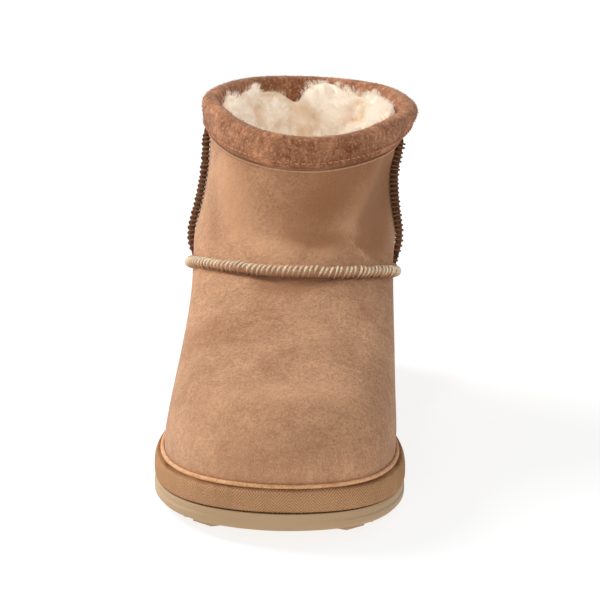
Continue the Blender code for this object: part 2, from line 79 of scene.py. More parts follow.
# Folds of the upper. Width is the reach to either side and rise the height of the ridge, negative for a
# trough, both in millimetres. The spots run along the fold, which fades out at both ends.
FOLDS = (
    # width, rise, spots
    (3.8, 1.8, ((0.74, 0.33, 0.92), (0.58, 0.42, 0.80), (0.46, 0.48, 0.71), (0.28, 0.55, 0.61))),
    (8.0, -2.7, ((0.86, 0.33, 0.86), (0.78, 0.38, 0.76), (0.68, 0.44, 0.68), (0.56, 0.50, 0.61))),
    (8.5, -1.2, ((0.50, 0.40, 0.90), (0.34, 0.47, 0.78), (0.10, 0.52, 0.68))),
    (7.0, 1.0, ((-0.52, 0.50, 0.66), (-0.10, 0.56, 0.66), (0.40, 0.54, 0.66))),
    (3.0, -0.9, ((-0.30, 0.575, 0.575), (0.05, 0.60, 0.565), (0.42, 0.57, 0.57))),
    (10.0, 1.3, ((-0.62, 0.38, 0.86), (-0.50, 0.46, 0.76), (-0.40, 0.52, 0.66))),
    (5.0, -0.9, ((-0.76, 0.40, 0.76), (-0.66, 0.45, 0.68), (-0.58, 0.50, 0.62))),
    (1.5, -0.45, ((-0.44, 0.44, 0.895), (-0.30, 0.46, 0.870), (-0.16, 0.47, 0.862))),
    (1.4, -0.40, ((-0.40, 0.45, 0.860), (-0.24, 0.47, 0.838), (-0.04, 0.48, 0.832))),
    (1.5, -0.35, ((-0.42, 0.45, 0.825), (-0.28, 0.47, 0.800), (-0.06, 0.49, 0.790))),
    (1.6, -0.50, ((-0.56, 0.50, 0.650), (-0.46, 0.53, 0.620), (-0.40, 0.54, 0.600))),
    (1.6, -0.45, ((-0.42, 0.52, 0.660), (-0.32, 0.55, 0.630), (-0.27, 0.56, 0.605))),
    (1.8, -0.45, ((0.20, 0.53, 0.670), (0.12, 0.56, 0.635), (0.10, 0.57, 0.610))),
    (1.8, -0.40, ((0.58, 0.48, 0.665), (0.50, 0.51, 0.635), (0.48, 0.52, 0.605))),
    (6.0, -1.4, ((-0.80, 0.46, 0.50), (-0.80, 0.34, 0.52), (-0.70, 0.20, 0.60), (-0.40, 0.09, 0.66))),
    (6.0, -1.4, ((0.80, 0.46, 0.50), (0.80, 0.34, 0.52), (0.70, 0.20, 0.60), (0.40, 0.09, 0.66))),
    (5.0, 0.9, ((-0.82, 0.42, 0.60), (-0.78, 0.30, 0.64), (-0.62, 0.18, 0.72))),
    (5.0, 0.9, ((0.82, 0.42, 0.60), (0.78, 0.30, 0.64), (0.62, 0.18, 0.72))),
    (7.0, 0.7, ((-0.60, 0.86, 0.32), (0.10, 0.88, 0.38), (0.72, 0.84, 0.32))),
)

# Steps from one spot of a fold to the next, and how fast a fold fades at its ends
FOLD_STEPS = 12
FOLD_FADE = 0.6

# The rise, in millimetres, at which a ridge gets its full wear and painted light, and a trough its full
# painted shade
RIDGE_FULL = 1.2

# The crease right under the instep seam: width, rise, how far it lies under the seam and how far round it
# goes
CREASE_WIDTH, CREASE_RISE, CREASE_DROP = 0.0015, -0.0018, 0.0007
CREASE_START, CREASE_END = math.radians(-34), math.radians(40)

# Where the suede is painted lighter (above 0) or darker (under 0) than its own colour, along soft lines like
# the folds, with widths in millimetres: painted light and painted shade, and one real stain
LIGHT_SHADE_AND_STAIN = (
    # width, strength, spots
    # painted light on the low vamp
    (17.0, 0.40, ((-0.80, 0.78, 0.22), (-0.40, 0.92, 0.22), (0.20, 0.95, 0.22), (0.70, 0.86, 0.22))),
    # painted shade on the medial side of the shaft
    (17.0, -1.20, ((0.80, 0.30, 0.94), (0.76, 0.40, 0.78), (0.66, 0.48, 0.66))),
    # painted shade on the middle of the shaft
    (17.0, -0.75, ((0.25, 0.42, 0.94), (0.14, 0.48, 0.78), (0.06, 0.54, 0.66))),
    # painted shade on the lateral side of the shaft
    (14.0, -0.35, ((-0.55, 0.40, 0.92), (-0.50, 0.46, 0.78), (-0.46, 0.52, 0.66))),
    # painted shade in the creases by the instep seam
    (5.0, -1.00, ((-0.10, 0.51, 0.68), (0.16, 0.53, 0.66), (0.50, 0.50, 0.66))),
    (4.0, -1.00, ((-0.34, 0.59, 0.56), (0.05, 0.61, 0.55), (0.40, 0.58, 0.56))),
    # a real stain near the rand on the medial side
    (6.0, -0.90, ((0.92, 0.64, 0.21), (0.88, 0.72, 0.19), (0.82, 0.79, 0.17))),
    # painted light on the lateral side
    (12.0, 0.35, ((-0.90, 0.55, 0.40), (-0.90, 0.66, 0.34), (-0.80, 0.76, 0.30))),
)

# Raised seams: how much they are swollen, the length left out at each end, how slanted their stitches are,
# as a share of the pitch, how far round the instep seam is sewn, and the sections taken along them
SEAM_PLUMP = 0.0003
SEAM_TRIM = 0.0015
SIDE_SLANT, INSTEP_SLANT = 0.25, -0.60
INSTEP_REACH = math.radians(72)
SEAM_SECTIONS, INSTEP_SECTIONS = 60, 120

# Overlock stitches: how far they reach round a seam to either side, in quarter turns, their points and the
# chance in their size
OVERLOCK_TURN, OVERLOCK_POINTS, OVERLOCK_CHANCE = 1.12, 9, 0.07

# Lock stitches: half their length as a share of the pitch, their points, and in thread radii how high they
# stand in the middle and how much lower at their ends
LOCK_HALF, LOCK_POINTS, LOCK_HEIGHT, LOCK_DIP = 0.36, 6, 1.5, 3.2

# Thread: sides of its tube, its twist along a stitch in radians, and how far from a stitch's middle, as
# shares of its length, the colour of its tails starts and is full
THREAD_SIDES = 6
THREAD_TWIST = 42.0
TAIL_START, TAIL_END = 0.10, 0.34

# Binding: how much it is swollen, the row of stitches, how far it lies from the edge, and the cut edge
# under it
BINDING_PLUMP = 0.0008
BINDING_SECTIONS, SMOOTH_REACH = 240, 3
ROW_OUT, ROW_RISE, ROW_PITCH = 0.004, 0.0025, 0.0029
EDGE_OUT, EDGE_DROP, EDGE_RADIUS = 0.0006, 0.0013, 0.0004

# Fuzz of the binding: chance in the fibres' lean and bend, their lengths, the depth of their roots and
# their widths
FUZZ_LEAN, FUZZ_BEND = 0.7, 0.5
FUZZ_SHORT, FUZZ_LONG, FUZZ_ROOT = 0.0004, 0.0011, 0.0001
FUZZ_WIDTHS = (0.00011, 0.00009)

# Rand: the sections taken round it, the place of the bead in its own radii, and the painted shade of the
# groove under it
RAND_SECTIONS, CREST_DEPTH = 360, 1e-4
BEAD_OUT, BEAD_RISE = 0.95, 0.60
GROOVE_HEIGHT, GROOVE_REACH = 0.0097, 0.0010

# Heel counter: how far round its row of stitches goes, how far it lies under the edge, its sections and its
# pitch
COUNTER_REACH = math.radians(78)
COUNTER_SECTIONS = 90
COUNTER_INSET, COUNTER_PITCH = 0.0026, 0.0026

# Edges that stay sharp, in degrees between their faces
SHARP_PATCH, SHARP_SOLE, SHARP_SHADING = 50, 22, 35

# The sole: the pitch of the faint lines on its side, and how far forward its painted shade reaches, as the
# start and the end of the change in shares of its length
MOULD_PITCH = 0.0013
TOE_SHADE_START, TOE_SHADE_END = 0.68, 0.96

# Puffs of the fleece: size and rise, how many times smaller the small ones are, how much both count, and
# how far the places of one chance field are from those of the next
PUFF_SIZE = 0.017
PUFF_RISE = 0.0042
PUFF_SMALLER = 2.6
PUFF_LARGE, PUFF_SMALL = 2.3, 0.9
PUFF_SHIFT = np.array((0.31, 0.17, 0.23))

# A face looks to the inside of the boot if its normal points outwards by less than this
INSIDE = 0.35

# Colour of the fleece under its wool, from 0 at the root to 1 at the tip, darker in the clefts as painted
# shade: in a cleft, more on a puff, on the footbed
CLEFT_TONE, PUFF_TONE, FOOTBED_TONE = 0.15, 0.50, 0.35
# How brightly the wool glows with its own colour, a painted glow
WOOL_PAINTED_GLOW = 0.12

# Locks of wool: reach, the size of the field that leans them, the share of that lean and the chance in it
LOCK_REACH = 0.0011
LEAN_SIZE, LEAN_SHARE, LEAN_CHANCE = 0.006, 0.7, 0.12

# Length of the wool, as shares of its own length: everywhere, more on a puff, more at the rim, and from
# strand to strand
WOOL_LEAST, WOOL_ON_PUFF, WOOL_AT_RIM = 0.55, 0.6, 0.5
STRAND_SHORT, STRAND_LONG = 0.7, 1.15

# Curl of the wool: its angle in radians, its radius, and the chance in where it starts
TURN_LEAST, TURN_MOST = 2.5, 5.0
CURL_LEAST, CURL_MOST = 0.0002, 0.0006
WIND_CHANCE = 0.5

# Run of a strand: points, depth of its root, droop, how late it leans, how much a lock closes, stray and
# widths
WOOL_POINTS = 4
WOOL_ROOT = 0.0003
WOOL_DROOP, WOOL_BEND, WOOL_CLOSE = 0.15, 1.5, 0.35
WOOL_STRAY = 0.00012
WOOL_WIDTHS = (0.00012, 0.00011, 0.00008)

# Colour of the wool between root and tip, darker at the roots and in the clefts as painted shade: its start
# on a full puff, its end in a cleft and how much more its end is on a full puff
ROOT_TONE, TIP_TONE, TIP_ON_PUFF = 0.35, 0.30, 0.70

# How high in the upper the wool starts to thin out towards the foot, over which height, and what is left of
# it
THIN_START, THIN_REACH, THIN_LEAST = 0.40, 0.35, 0.06
WOOL_PARTS = 4

# The footbed's wool: strands, length against the shaft's, and how far up a face has to look
FOOTBED_STRANDS, FOOTBED_LENGTH, FOOTBED_UP = 12000, 0.8, 0.6

# How far under the rim the wool starts to stand up, how much it leans up, how far under the rim it stays
# and how much of what passes that height is taken away
RIM_SECTIONS = 120
RIM_REACH, RIM_LIFT, RIM_CLEAR, RIM_PULL = 0.0085, 1.0, 0.0012, 0.75

# Stage: floor, world and lamps
FLOOR_HALF, FLOOR_TONE, FLOOR_GLOW = 6.0, 0.25, 0.80
WORLD_STRENGTH = 0.43
LIGHT_AIM, COLLAR_AIM = (0.0, -0.09, 0.06), (0.0, -0.015, 0.128)
LAMP_SIZE, SPOT_SIZE = 0.9, 0.08

# Camera: what it looks at, where from, how far away it is and its lens, in millimetres
CAMERA_AIM = (0.003, -0.095, 0.0625)
CAMERA_TURN, CAMERA_RISE = math.radians(4.6), math.radians(15.45)
CAMERA_AWAY, CAMERA_SENSOR, CAMERA_LENS = 1.4, 36.0, 198.0

# Copies of the solids: how flat and how square two triangles are to be joined, how much their neighbours
# count, and how near two vertices are to be one
JOIN_FLAT, JOIN_SQUARE, JOIN_NEIGHBOURS = math.radians(60), math.radians(80), 1.5
MERGE = 1e-6
SEED = 7


class BootSizes(bpy.types.PropertyGroup):
    """Sizes of the finish that a user would change."""

    fold_strength: FloatProperty(
        name="Fold strength", description="How deep the upper's folds are, against the worn boot",
        default=1.0, min=0.0, max=2.0, subtype="FACTOR")
    stitch_pitch: FloatProperty(
        name="Stitch pitch", description="Distance between the overlock stitches of a seam",
        default=0.0021, min=0.001, unit="LENGTH")
    thread: FloatProperty(
        name="Thread", description="Radius of the overlock thread",
        default=0.00048, min=0.0001, unit="LENGTH")
    fine_thread: FloatProperty(
        name="Fine thread", description="Radius of the thread of the lock stitches",
        default=0.00032, min=0.0001, unit="LENGTH")
    seam_width: FloatProperty(
        name="Seam width", description="Width of an upright seam over its thread",
        default=0.0047, unit="LENGTH")
    instep_width: FloatProperty(
        name="Instep seam width", description="Width of the instep seam over its thread",
        default=0.0044, unit="LENGTH")
    seam_height: FloatProperty(
        name="Seam height", description="Height of a raised seam over the wall",
        default=0.0032, unit="LENGTH")
    bead: FloatProperty(
        name="Bead", description="Radius of the rolled edge on top of the rand",
        default=0.00085, unit="LENGTH")
    wool_length: FloatProperty(
        name="Wool length", description="Length of the wool in the shaft", default=0.0026, unit="LENGTH")
    wool_strands: IntProperty(
        name="Wool strands", description="Number of strands of wool in the lining", default=88000, min=0)
    lock_strands: IntProperty(
        name="Strands in a lock", description="Strands of wool that curl together", default=8, min=1)
    nap_strands: IntProperty(
        name="Nap fibres", description="Number of loose fibres on the binding", default=24000, min=0)
    weave_pitch: FloatProperty(
        name="Weave pitch", description="Distance between the ribs of the rand's fabric",
        default=0.00125, unit="LENGTH")
    weave_band: FloatProperty(
        name="Weave band", description="Width of one band of the herringbone", default=0.0048, unit="LENGTH")


class BootColours(bpy.types.PropertyGroup):
    """Colours of the finish that a user would change."""

    suede: FloatVectorProperty(
        name="Suede", description="Brushed suede of the upper", subtype="COLOR", size=3,
        default=(0.495, 0.275, 0.156))
    binding: FloatVectorProperty(
        name="Binding", description="Darker suede round the collar", subtype="COLOR", size=3,
        default=(0.350, 0.164, 0.088))
    rand: FloatVectorProperty(
        name="Rand", description="Ochre fabric over the join with the sole", subtype="COLOR", size=3,
        default=(0.660, 0.380, 0.200))
    sole: FloatVectorProperty(
        name="Sole", description="Foam rubber of the sole", subtype="COLOR", size=3,
        default=(0.640, 0.480, 0.320))
    wool: FloatVectorProperty(
        name="Wool", description="Tips of the fleece", subtype="COLOR", size=3,
        default=(0.970, 0.920, 0.840))
    # Painted shade: the darker colour at the roots and in the clefts of the fleece
    wool_root_shade: FloatVectorProperty(
        name="Wool roots", description="Depth of the fleece", subtype="COLOR", size=3,
        default=(0.800, 0.580, 0.370))
    cream_thread: FloatVectorProperty(
        name="Instep thread", description="Thread across the instep", subtype="COLOR", size=3,
        default=(0.880, 0.700, 0.510))
    tan_thread: FloatVectorProperty(
        name="Side thread", description="Thread of the side seams", subtype="COLOR", size=3,
        default=(0.190, 0.088, 0.042))
    dark_edge: FloatVectorProperty(
        name="Side seam", description="Cut edges and thread of the side seams", subtype="COLOR", size=3,
        default=(0.110, 0.047, 0.024))


def sizes():
    return bpy.context.scene.boot_sizes


def colours():
    return bpy.context.scene.boot_colours


# Places on the boot


def spot(sideways, along, up):
    """A place given in the boot's own sizes."""
    middle = (SOLE_LOW.x + SOLE_HIGH.x) / 2
    return Vector((middle + sideways * HALF_WIDTH, SOLE_HIGH.y - along * SOLE_LENGTH, up * UPPER_TOP))


def soft_line(knots, steps):
    """Points of a smooth curve through a few places."""
    knots = [Vector(knot) for knot in knots]
    ends = [2 * knots[0] - knots[1], *knots, 2 * knots[-1] - knots[-2]]
    points = []
    for i in range(1, len(ends) - 2):
        before, start, end, after = ends[i - 1:i + 3]
        for k in range(steps):
            t = k / steps
            points.append(0.5 * (
                2 * start + (end - before) * t + (2 * before - 5 * start + 4 * end - after) * t ** 2
                + (3 * start - before - 3 * end + after) * t ** 3))
    return np.array([*points, ends[-2]])


def nearest_on_line(points, line):
    """Nearest places of a line to many points, and how far along the line they are, from 0 to 1."""
    best = np.full(len(points), np.inf)
    place, along = np.zeros_like(points), np.zeros(len(points))
    for i in range(len(line) - 1):
        start, run = line[i], line[i + 1] - line[i]
        share = np.clip((points - start) @ run / (run @ run), 0, 1)
        found = start + share[:, None] * run
        away = np.linalg.norm(points - found, axis=1)
        closer = away < best
        best[closer] = away[closer]
        place[closer] = found[closer]
        along[closer] = (i + share[closer]) / (len(line) - 1)
    return place, along


def unit(vectors):
    return vectors / np.maximum(np.linalg.norm(vectors, axis=-1, keepdims=True), 1e-12)


def outward(points):
    """Directions from the middle of the boot out to many points."""
    line = np.array([spot(*place) for place in SPINE])
    return unit(points - nearest_on_line(points, line)[0])


def fold_lines():
    """The folds as lines on the wall, with their widths and rises in metres."""
    wall = surface_of(copy_of("upper", "plain_upper"))
    lines = []
    for width, rise, spots in FOLDS:
        line = soft_line([spot(*place) for place in spots], FOLD_STEPS)
        line = np.array([wall.find_nearest(Vector(point))[0] for point in line])
        lines.append((line, width / 1000, rise / 1000))
    turns = np.linspace(CREASE_START, CREASE_END, 2 * FOLD_STEPS)
    seam = [s for s in fan_slices(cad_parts["seam_instep"].data, SHAFT_MIDDLE, turns) if len(s)]
    under = [s[np.argmin(s[:, 2])] - np.array((0, 0, CREASE_DROP)) for s in seam]
    crease = np.array([wall.find_nearest(Vector(point))[0] for point in under])
    lines.append((crease, CREASE_WIDTH, CREASE_RISE))
    bpy.data.meshes.remove(bpy.data.meshes["plain_upper"])
    return lines


def along_lines(points, lines):
    """At many points, the sum of soft lines, each with a width and a height, faded out at both ends."""
    total = np.zeros(len(points))
    for line, width, rise in lines:
        place, along = nearest_on_line(points, line)
        away = np.linalg.norm(points - place, axis=1)
        total += rise * np.sin(math.pi * along) ** FOLD_FADE * np.exp(-(away / width) ** 2)
    return total


def fold_rise(points):
    """How far the folds move each of many points outwards, in metres."""
    return along_lines(points, FOLD_LINES) * sizes().fold_strength


def shade(points):
    """How much lighter or darker the suede is painted at many points, from -1 to 1: painted light and shade,
    and a stain.
    """
    lines = [(soft_line([spot(*place) for place in spots], FOLD_STEPS), width / 1000, strength)
             for width, strength, spots in LIGHT_SHADE_AND_STAIN]
    return np.clip(along_lines(points, lines), -1, 1)


# Meshes


def link(name, data):
    piece = bpy.data.objects.new(name, data)
    bpy.context.scene.collection.objects.link(piece)
    return piece


def settle(piece, finish, slot, *nodes):
    """Gives a finished piece its material and the body it rides on, and hides the solids it stands for. The
    slot is not used.
    """
    piece.data.materials.clear()
    piece.data.materials.append(finish)
    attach(piece, "root")
    if nodes:
        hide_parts(*nodes)
    return piece


def copy_of(node, name):
    """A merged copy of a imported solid's mesh, with its triangles joined to quads."""
    mesh = bmesh.new()
    mesh.from_mesh(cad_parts[node].data)
    bmesh.ops.remove_doubles(mesh, verts=mesh.verts, dist=MERGE)
    bmesh.ops.join_triangles(
        mesh, faces=mesh.faces, angle_face_threshold=JOIN_FLAT, angle_shape_threshold=JOIN_SQUARE,
        topology_influence=JOIN_NEIGHBOURS)
    data = bpy.data.meshes.new(name)
    mesh.to_mesh(data)
    mesh.free()
    return data


def sharpen(data, angle):
    """Creases the edges whose faces meet at more than an angle, so that subdivision keeps them."""
    mesh = bmesh.new()
    mesh.from_mesh(data)
    crease = mesh.edges.layers.float.new("crease_edge")
    for edge in mesh.edges:
        edge[crease] = float(edge.calc_face_angle(0) > angle)
    mesh.to_mesh(data)
    mesh.free()


def apply_modifiers(piece):
    graph = bpy.context.evaluated_depsgraph_get()
    made = bpy.data.meshes.new_from_object(piece.evaluated_get(graph))
    piece.modifiers.clear()
    old = piece.data
    piece.data = made
    bpy.data.meshes.remove(old)
    made.name = piece.name


def dressed(node, name, levels, sharp=None):
    """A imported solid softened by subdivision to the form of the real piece. Sharp is the angle, in degrees,
    over which its edges stay as they are."""
    data = copy_of(node, name)
    if sharp:
        sharpen(data, math.radians(sharp))
    piece = link(name, data)
    soften = piece.modifiers.new("soften", "SUBSURF")
    soften.levels = soften.render_levels = levels
    apply_modifiers(piece)
    piece.data.shade_smooth()
    return piece


def points_of(data):
    flat = np.empty(len(data.vertices) * 3, np.float32)
    data.vertices.foreach_get("co", flat)
    return flat.reshape(-1, 3).astype(float)


def move_points(data, points):
    data.vertices.foreach_set("co", points.astype(np.float32).ravel())
    data.update()


def normals_of(data):
    flat = np.empty(len(data.vertices) * 3, np.float32)
    data.vertex_normals.foreach_get("vector", flat)
    return flat.reshape(-1, 3).astype(float)


def paint(data, name, values):
    """Writes one number for each vertex as an attribute that a material reads."""
    layer = data.attributes.new(name, "FLOAT", "POINT")
    layer.data.foreach_set("value", np.asarray(values, np.float32))


def fold(piece):
    """Moves a piece with the folds of the wall, and paints how high each point stands on them."""
    points = points_of(piece.data)
    rise = fold_rise(points)
    move_points(piece.data, points + outward(points) * rise[:, None])
    # The ridge attribute makes ridges lighter, by wear and painted light, and troughs darker, by painted
    # shade
    paint(piece.data, "ridge", np.clip(rise * 1000 / RIDGE_FULL, -1, 1))


def surface_of(data):
    mesh = bmesh.new()
    mesh.from_mesh(data)
    tree = BVHTree.FromBMesh(mesh)
    mesh.free()
    return tree


def corners_of(data):
    """Corners of every triangle of a mesh, an array of (count, 3, 3)."""
    data.calc_loop_triangles()
    corners = np.empty(len(data.loop_triangles) * 3, np.int32)
    data.loop_triangles.foreach_get("vertices", corners)
    return points_of(data)[corners].reshape(-1, 3, 3)


def cut(corners, point, normal):
    """Points where a plane crosses the edges of many triangles."""
    high = (corners - point) @ normal
    found = []
    for a, b in ((0, 1), (1, 2), (2, 0)):
        crossed = high[:, a] * high[:, b] < 0
        share = (high[crossed, a] / (high[crossed, a] - high[crossed, b]))[:, None]
        found.append(corners[crossed, a] * (1 - share) + corners[crossed, b] * share)
    return np.concatenate(found)


def level_slices(data, trim, count):
    """Sections of an upright piece at evenly spaced heights, without its ends."""
    corners = corners_of(data)
    low, high = corners[:, :, 2].min() + trim, corners[:, :, 2].max() - trim
    up = np.array((0, 0, 1.0))
    return [cut(corners, up * height, up) for height in np.linspace(low, high, count)]


def fan_slices(data, middle, angles):
    """Sections of a piece by upright planes that turn round a middle line. Angle 0 looks to the toe, and a
    quarter turn to the medial side."""
    corners = corners_of(data)
    centre = np.array(spot(*middle))
    sections = []
    for angle in angles:
        ahead = np.array((math.sin(angle), -math.cos(angle), 0))
        across = np.array((math.cos(angle), math.sin(angle), 0))
        section = cut(corners, centre, across)
        sections.append(section[(section - centre) @ ahead > 0])
    return sections


def seat(points, wall):
    """Nearest places of the wall to many points, and its outward directions there."""
    found = [wall.find_nearest(Vector(point)) for point in points]
    return np.array([hit[0] for hit in found]), np.array([hit[1] for hit in found])


def run_of(line):
    """Length along a line to each of its points."""
    steps = np.linalg.norm(np.diff(line, axis=0), axis=1)
    return np.concatenate(([0], np.cumsum(steps)))


def smooth_ring(places):
    """A ring of places with its jumps smoothed out."""
    shifts = range(-SMOOTH_REACH, SMOOTH_REACH + 1)
    return np.mean([np.roll(places, shift, 0) for shift in shifts], 0)


def evenly(line, values, pitch):
    """Places at an even pitch along a line, the values carried there and the directions ahead."""
    run = run_of(line)
    at = np.arange(pitch / 2, run[-1], pitch)

    def carry(array, shift=0.0):
        return np.stack([np.interp(at + shift, run, column) for column in array.T], 1)

    ahead = unit(carry(line, pitch) - carry(line, -pitch))
    return carry(line), unit(carry(values)), ahead


def tubes(name, lines, radii, sides):
    """One mesh of tubes along many lines, an array of (count, points, 3), closed at both ends. Radii has one
    number for each point of a line. Each vertex knows how far along its tube it is and a chance number of its
    tube."""
    count, points = lines.shape[:2]
    ahead = unit(np.gradient(lines, axis=1))
    bend = lines[:, points // 2] - (lines[:, 0] + lines[:, -1]) / 2
    level = np.cross(lines[:, -1] - lines[:, 0], bend + (1e-5, 2e-5, 1e-5))
    side = unit(np.cross(ahead, unit(level)[:, None]))
    over = np.cross(side, ahead)
    turn = 2 * math.pi * np.arange(sides) / sides
    round_it = np.cos(turn)[:, None] * side[:, :, None] + np.sin(turn)[:, None] * over[:, :, None]
    rings = lines[:, :, None] + np.asarray(radii)[None, :, None, None] * round_it
    first = np.arange(count)[:, None, None] * points * sides + np.arange(points - 1)[None, :, None] * sides
    here, after = np.arange(sides), (np.arange(sides) + 1) % sides
    walls = np.stack([first + here, first + here + sides, first + after + sides, first + after], -1)
    starts = np.arange(count)[:, None] * points * sides + here
    stops = starts[:, ::-1] + (points - 1) * sides
    data = bpy.data.meshes.new(name)
    faces = [*walls.reshape(-1, 4).tolist(), *starts.tolist(), *stops.tolist()]
    data.from_pydata(rings.reshape(-1, 3), [], faces)
    chance = np.random.default_rng(SEED).random(count)
    paint(data, "along", np.tile(np.repeat(np.linspace(0, 1, points), sides), count))
    paint(data, "chance", np.repeat(chance, points * sides))
    data.shade_smooth()
    return link(name, data)


# Stitches


def overlock(name, line, outs, pitch, radius, width, height, slant, finish, slot):
    """Stitches wrapped over a raised seam: slanted arches from one side of the seam to the other."""
    places, out, ahead = evenly(line, outs, pitch)
    side = unit(np.cross(ahead, out))
    swing = np.linspace(-OVERLOCK_TURN, OVERLOCK_TURN, OVERLOCK_POINTS) * math.pi / 2
    across, up = np.sin(swing) * width / 2, np.cos(swing) * height
    lean = np.sin(swing) * slant * pitch
    jitter = np.random.default_rng(SEED).normal(0, OVERLOCK_CHANCE, (len(places), 1, 1))
    lines = (places[:, None] + side[:, None] * across[:, None] * (1 + jitter)
             + out[:, None] * up[:, None] * (1 + jitter / 2)
             + ahead[:, None] * (lean[:, None] + jitter * pitch))
    return settle(tubes(name, lines, np.full(len(swing), radius), THREAD_SIDES), finish, slot)


def lock_stitches(name, line, outs, pitch, radius, finish, slot):
    """A row of sewn stitches that dip into the surface at both ends."""
    places, out, ahead = evenly(line, outs, pitch)
    along = np.linspace(-LOCK_HALF, LOCK_HALF, LOCK_POINTS)
    rise = radius * (LOCK_HEIGHT - LOCK_DIP * np.abs(along / along[-1]) ** 3)
    lines = places[:, None] + ahead[:, None] * (along * pitch)[:, None] + out[:, None] * rise[:, None]
    return settle(tubes(name, lines, np.full(len(along), radius), THREAD_SIDES), finish, slot)


# Shader nodes


def wire(tree, kind, inputs=(), **settings):
    """A new node. Inputs maps names or numbers of its sockets to values, or to sockets that feed them."""
    node = tree.nodes.new(kind)
    for key, value in settings.items():
        setattr(node, key, value)
    for key, value in dict(inputs).items():
        if isinstance(value, bpy.types.NodeSocket):
            tree.links.new(value, node.inputs[key])
        else:
            node.inputs[key].default_value = value
    return node


def maths(tree, operation, *values):
    return wire(tree, "ShaderNodeMath", enumerate(values), operation=operation).outputs[0]


def spread(tree, value, low, high, to_low=0.0, to_high=1.0):
    """A value's stretch from low to high, spread over another range and held at its ends."""
    return wire(tree, "ShaderNodeMapRange", {0: value, 1: low, 2: high, 3: to_low, 4: to_high}).outputs[0]


def mixed(tree, share, one, other):
    """Two colours mixed by a share."""
    return wire(tree, "ShaderNodeMix", {0: share, 6: one, 7: other}, data_type="RGBA").outputs[2]


def grain(tree, places, scale, detail=3.0, roughness=0.55, swirl=0.0):
    return wire(tree, "ShaderNodeTexNoise", {
        "Vector": places, "Scale": scale, "Detail": detail, "Roughness": roughness,
        "Distortion": swirl}).outputs[0]


def places_on(tree):
    return wire(tree, "ShaderNodeTexCoord").outputs["Object"]


def stretched(tree, places, x, y, z):
    return wire(tree, "ShaderNodeMapping", {"Vector": places, "Scale": (x, y, z)}).outputs[0]


def painted(tree, name):
    return wire(tree, "ShaderNodeAttribute", attribute_name=name).outputs["Fac"]


def opaque(colour):
    """A colour with the fourth part that sockets ask for."""
    return (*colour, 1.0)


def new_group(name, inputs, outputs):
    """A shader node group, with its input and output nodes. Inputs maps names to defaults, and a colour has
    three parts."""
    tree = bpy.data.node_groups.new(name, "ShaderNodeTree")
    for key, default in inputs.items():
        kind = "NodeSocketColor" if isinstance(default, tuple) else "NodeSocketFloat"
        socket = tree.interface.new_socket(key, in_out="INPUT", socket_type=kind)
        socket.default_value = opaque(default) if isinstance(default, tuple) else default
    for key, kind in outputs.items():
        tree.interface.new_socket(key, in_out="OUTPUT", socket_type=kind)
    return tree, tree.nodes.new("NodeGroupInput").outputs, tree.nodes.new("NodeGroupOutput").inputs


def nap_group():
    """Brushed suede: mottling, strokes of the brush, ridges lighter by wear and painted light, creases darker
    by painted shade, lines of painted light and shade with a stain, and a fine nap.
    """
    if "suede_nap" in bpy.data.node_groups:
        return bpy.data.node_groups["suede_nap"]
    white = (1.0, 1.0, 1.0)
    tree, given, out = new_group(
        "suede_nap",
        {"Colour": white, "Light": white, "Dark": white, "Ridge": 0.0, "Shade": 0.0, "Mottle": 0.5,
         "Coarse": 1.0, "Strokes": 0.2},
        {"Color": "NodeSocketColor", "Roughness": "NodeSocketFloat", "Height": "NodeSocketFloat"})
    places = places_on(tree)
    coarse = given["Coarse"]
    patches = spread(tree, grain(tree, places, 38.0, 3.0, 0.55, 0.6), 0.34, 0.66, -0.55, 0.55)
    clouds = spread(tree, grain(tree, places, 130.0, 4.0, 0.62, 1.4), 0.32, 0.68, -0.50, 0.50)
    brushed = stretched(tree, places, 1.0, 1.0, 0.16)
    strokes = grain(tree, brushed, maths(tree, "MULTIPLY", 620.0, coarse), 3.0, 0.6)
    strokes = spread(tree, strokes, 0.34, 0.66, -1.0, 1.0)
    nap = grain(tree, places, maths(tree, "MULTIPLY", 760.0, coarse), 4.0, 0.75)
    specks = grain(tree, places, maths(tree, "MULTIPLY", 1700.0, coarse), 2.0, 0.7)
    share = maths(tree, "ADD", patches, clouds)
    share = maths(tree, "ADD", share, maths(tree, "MULTIPLY", strokes, given["Strokes"]))
    share = maths(tree, "MULTIPLY", share, given["Mottle"])
    colour = mixed(tree, spread(tree, share, 0.0, 1.0), given["Colour"], given["Light"])
    colour = mixed(tree, spread(tree, share, 0.0, -1.0), colour, given["Dark"])
    colour = mixed(tree, spread(tree, nap, 0.56, 0.34, 0.0, 0.75), colour, given["Dark"])
    colour = mixed(tree, spread(tree, specks, 0.52, 0.72, 0.0, 0.95), colour, given["Light"])
    # Ridges lighter by wear and painted light, troughs darker by painted shade, then the lines of painted
    # light and shade with their stain
    for key, most_light, most_dark in (("Ridge", 0.60, 0.75), ("Shade", 0.80, 0.80)):
        colour = mixed(tree, spread(tree, given[key], 0.0, 1.0, 0.0, most_light), colour, given["Light"])
        colour = mixed(tree, spread(tree, given[key], 0.0, -1.0, 0.0, most_dark), colour, given["Dark"])
    tree.links.new(colour, out["Color"])
    tree.links.new(spread(tree, nap, 0.3, 0.7, 0.82, 1.0), out["Roughness"])
    height = maths(tree, "ADD", maths(tree, "MULTIPLY", nap, 0.7), maths(tree, "MULTIPLY", specks, 0.4))
    height = maths(tree, "ADD", height, maths(tree, "MULTIPLY", strokes, 0.15))
    tree.links.new(height, out["Height"])
    return tree


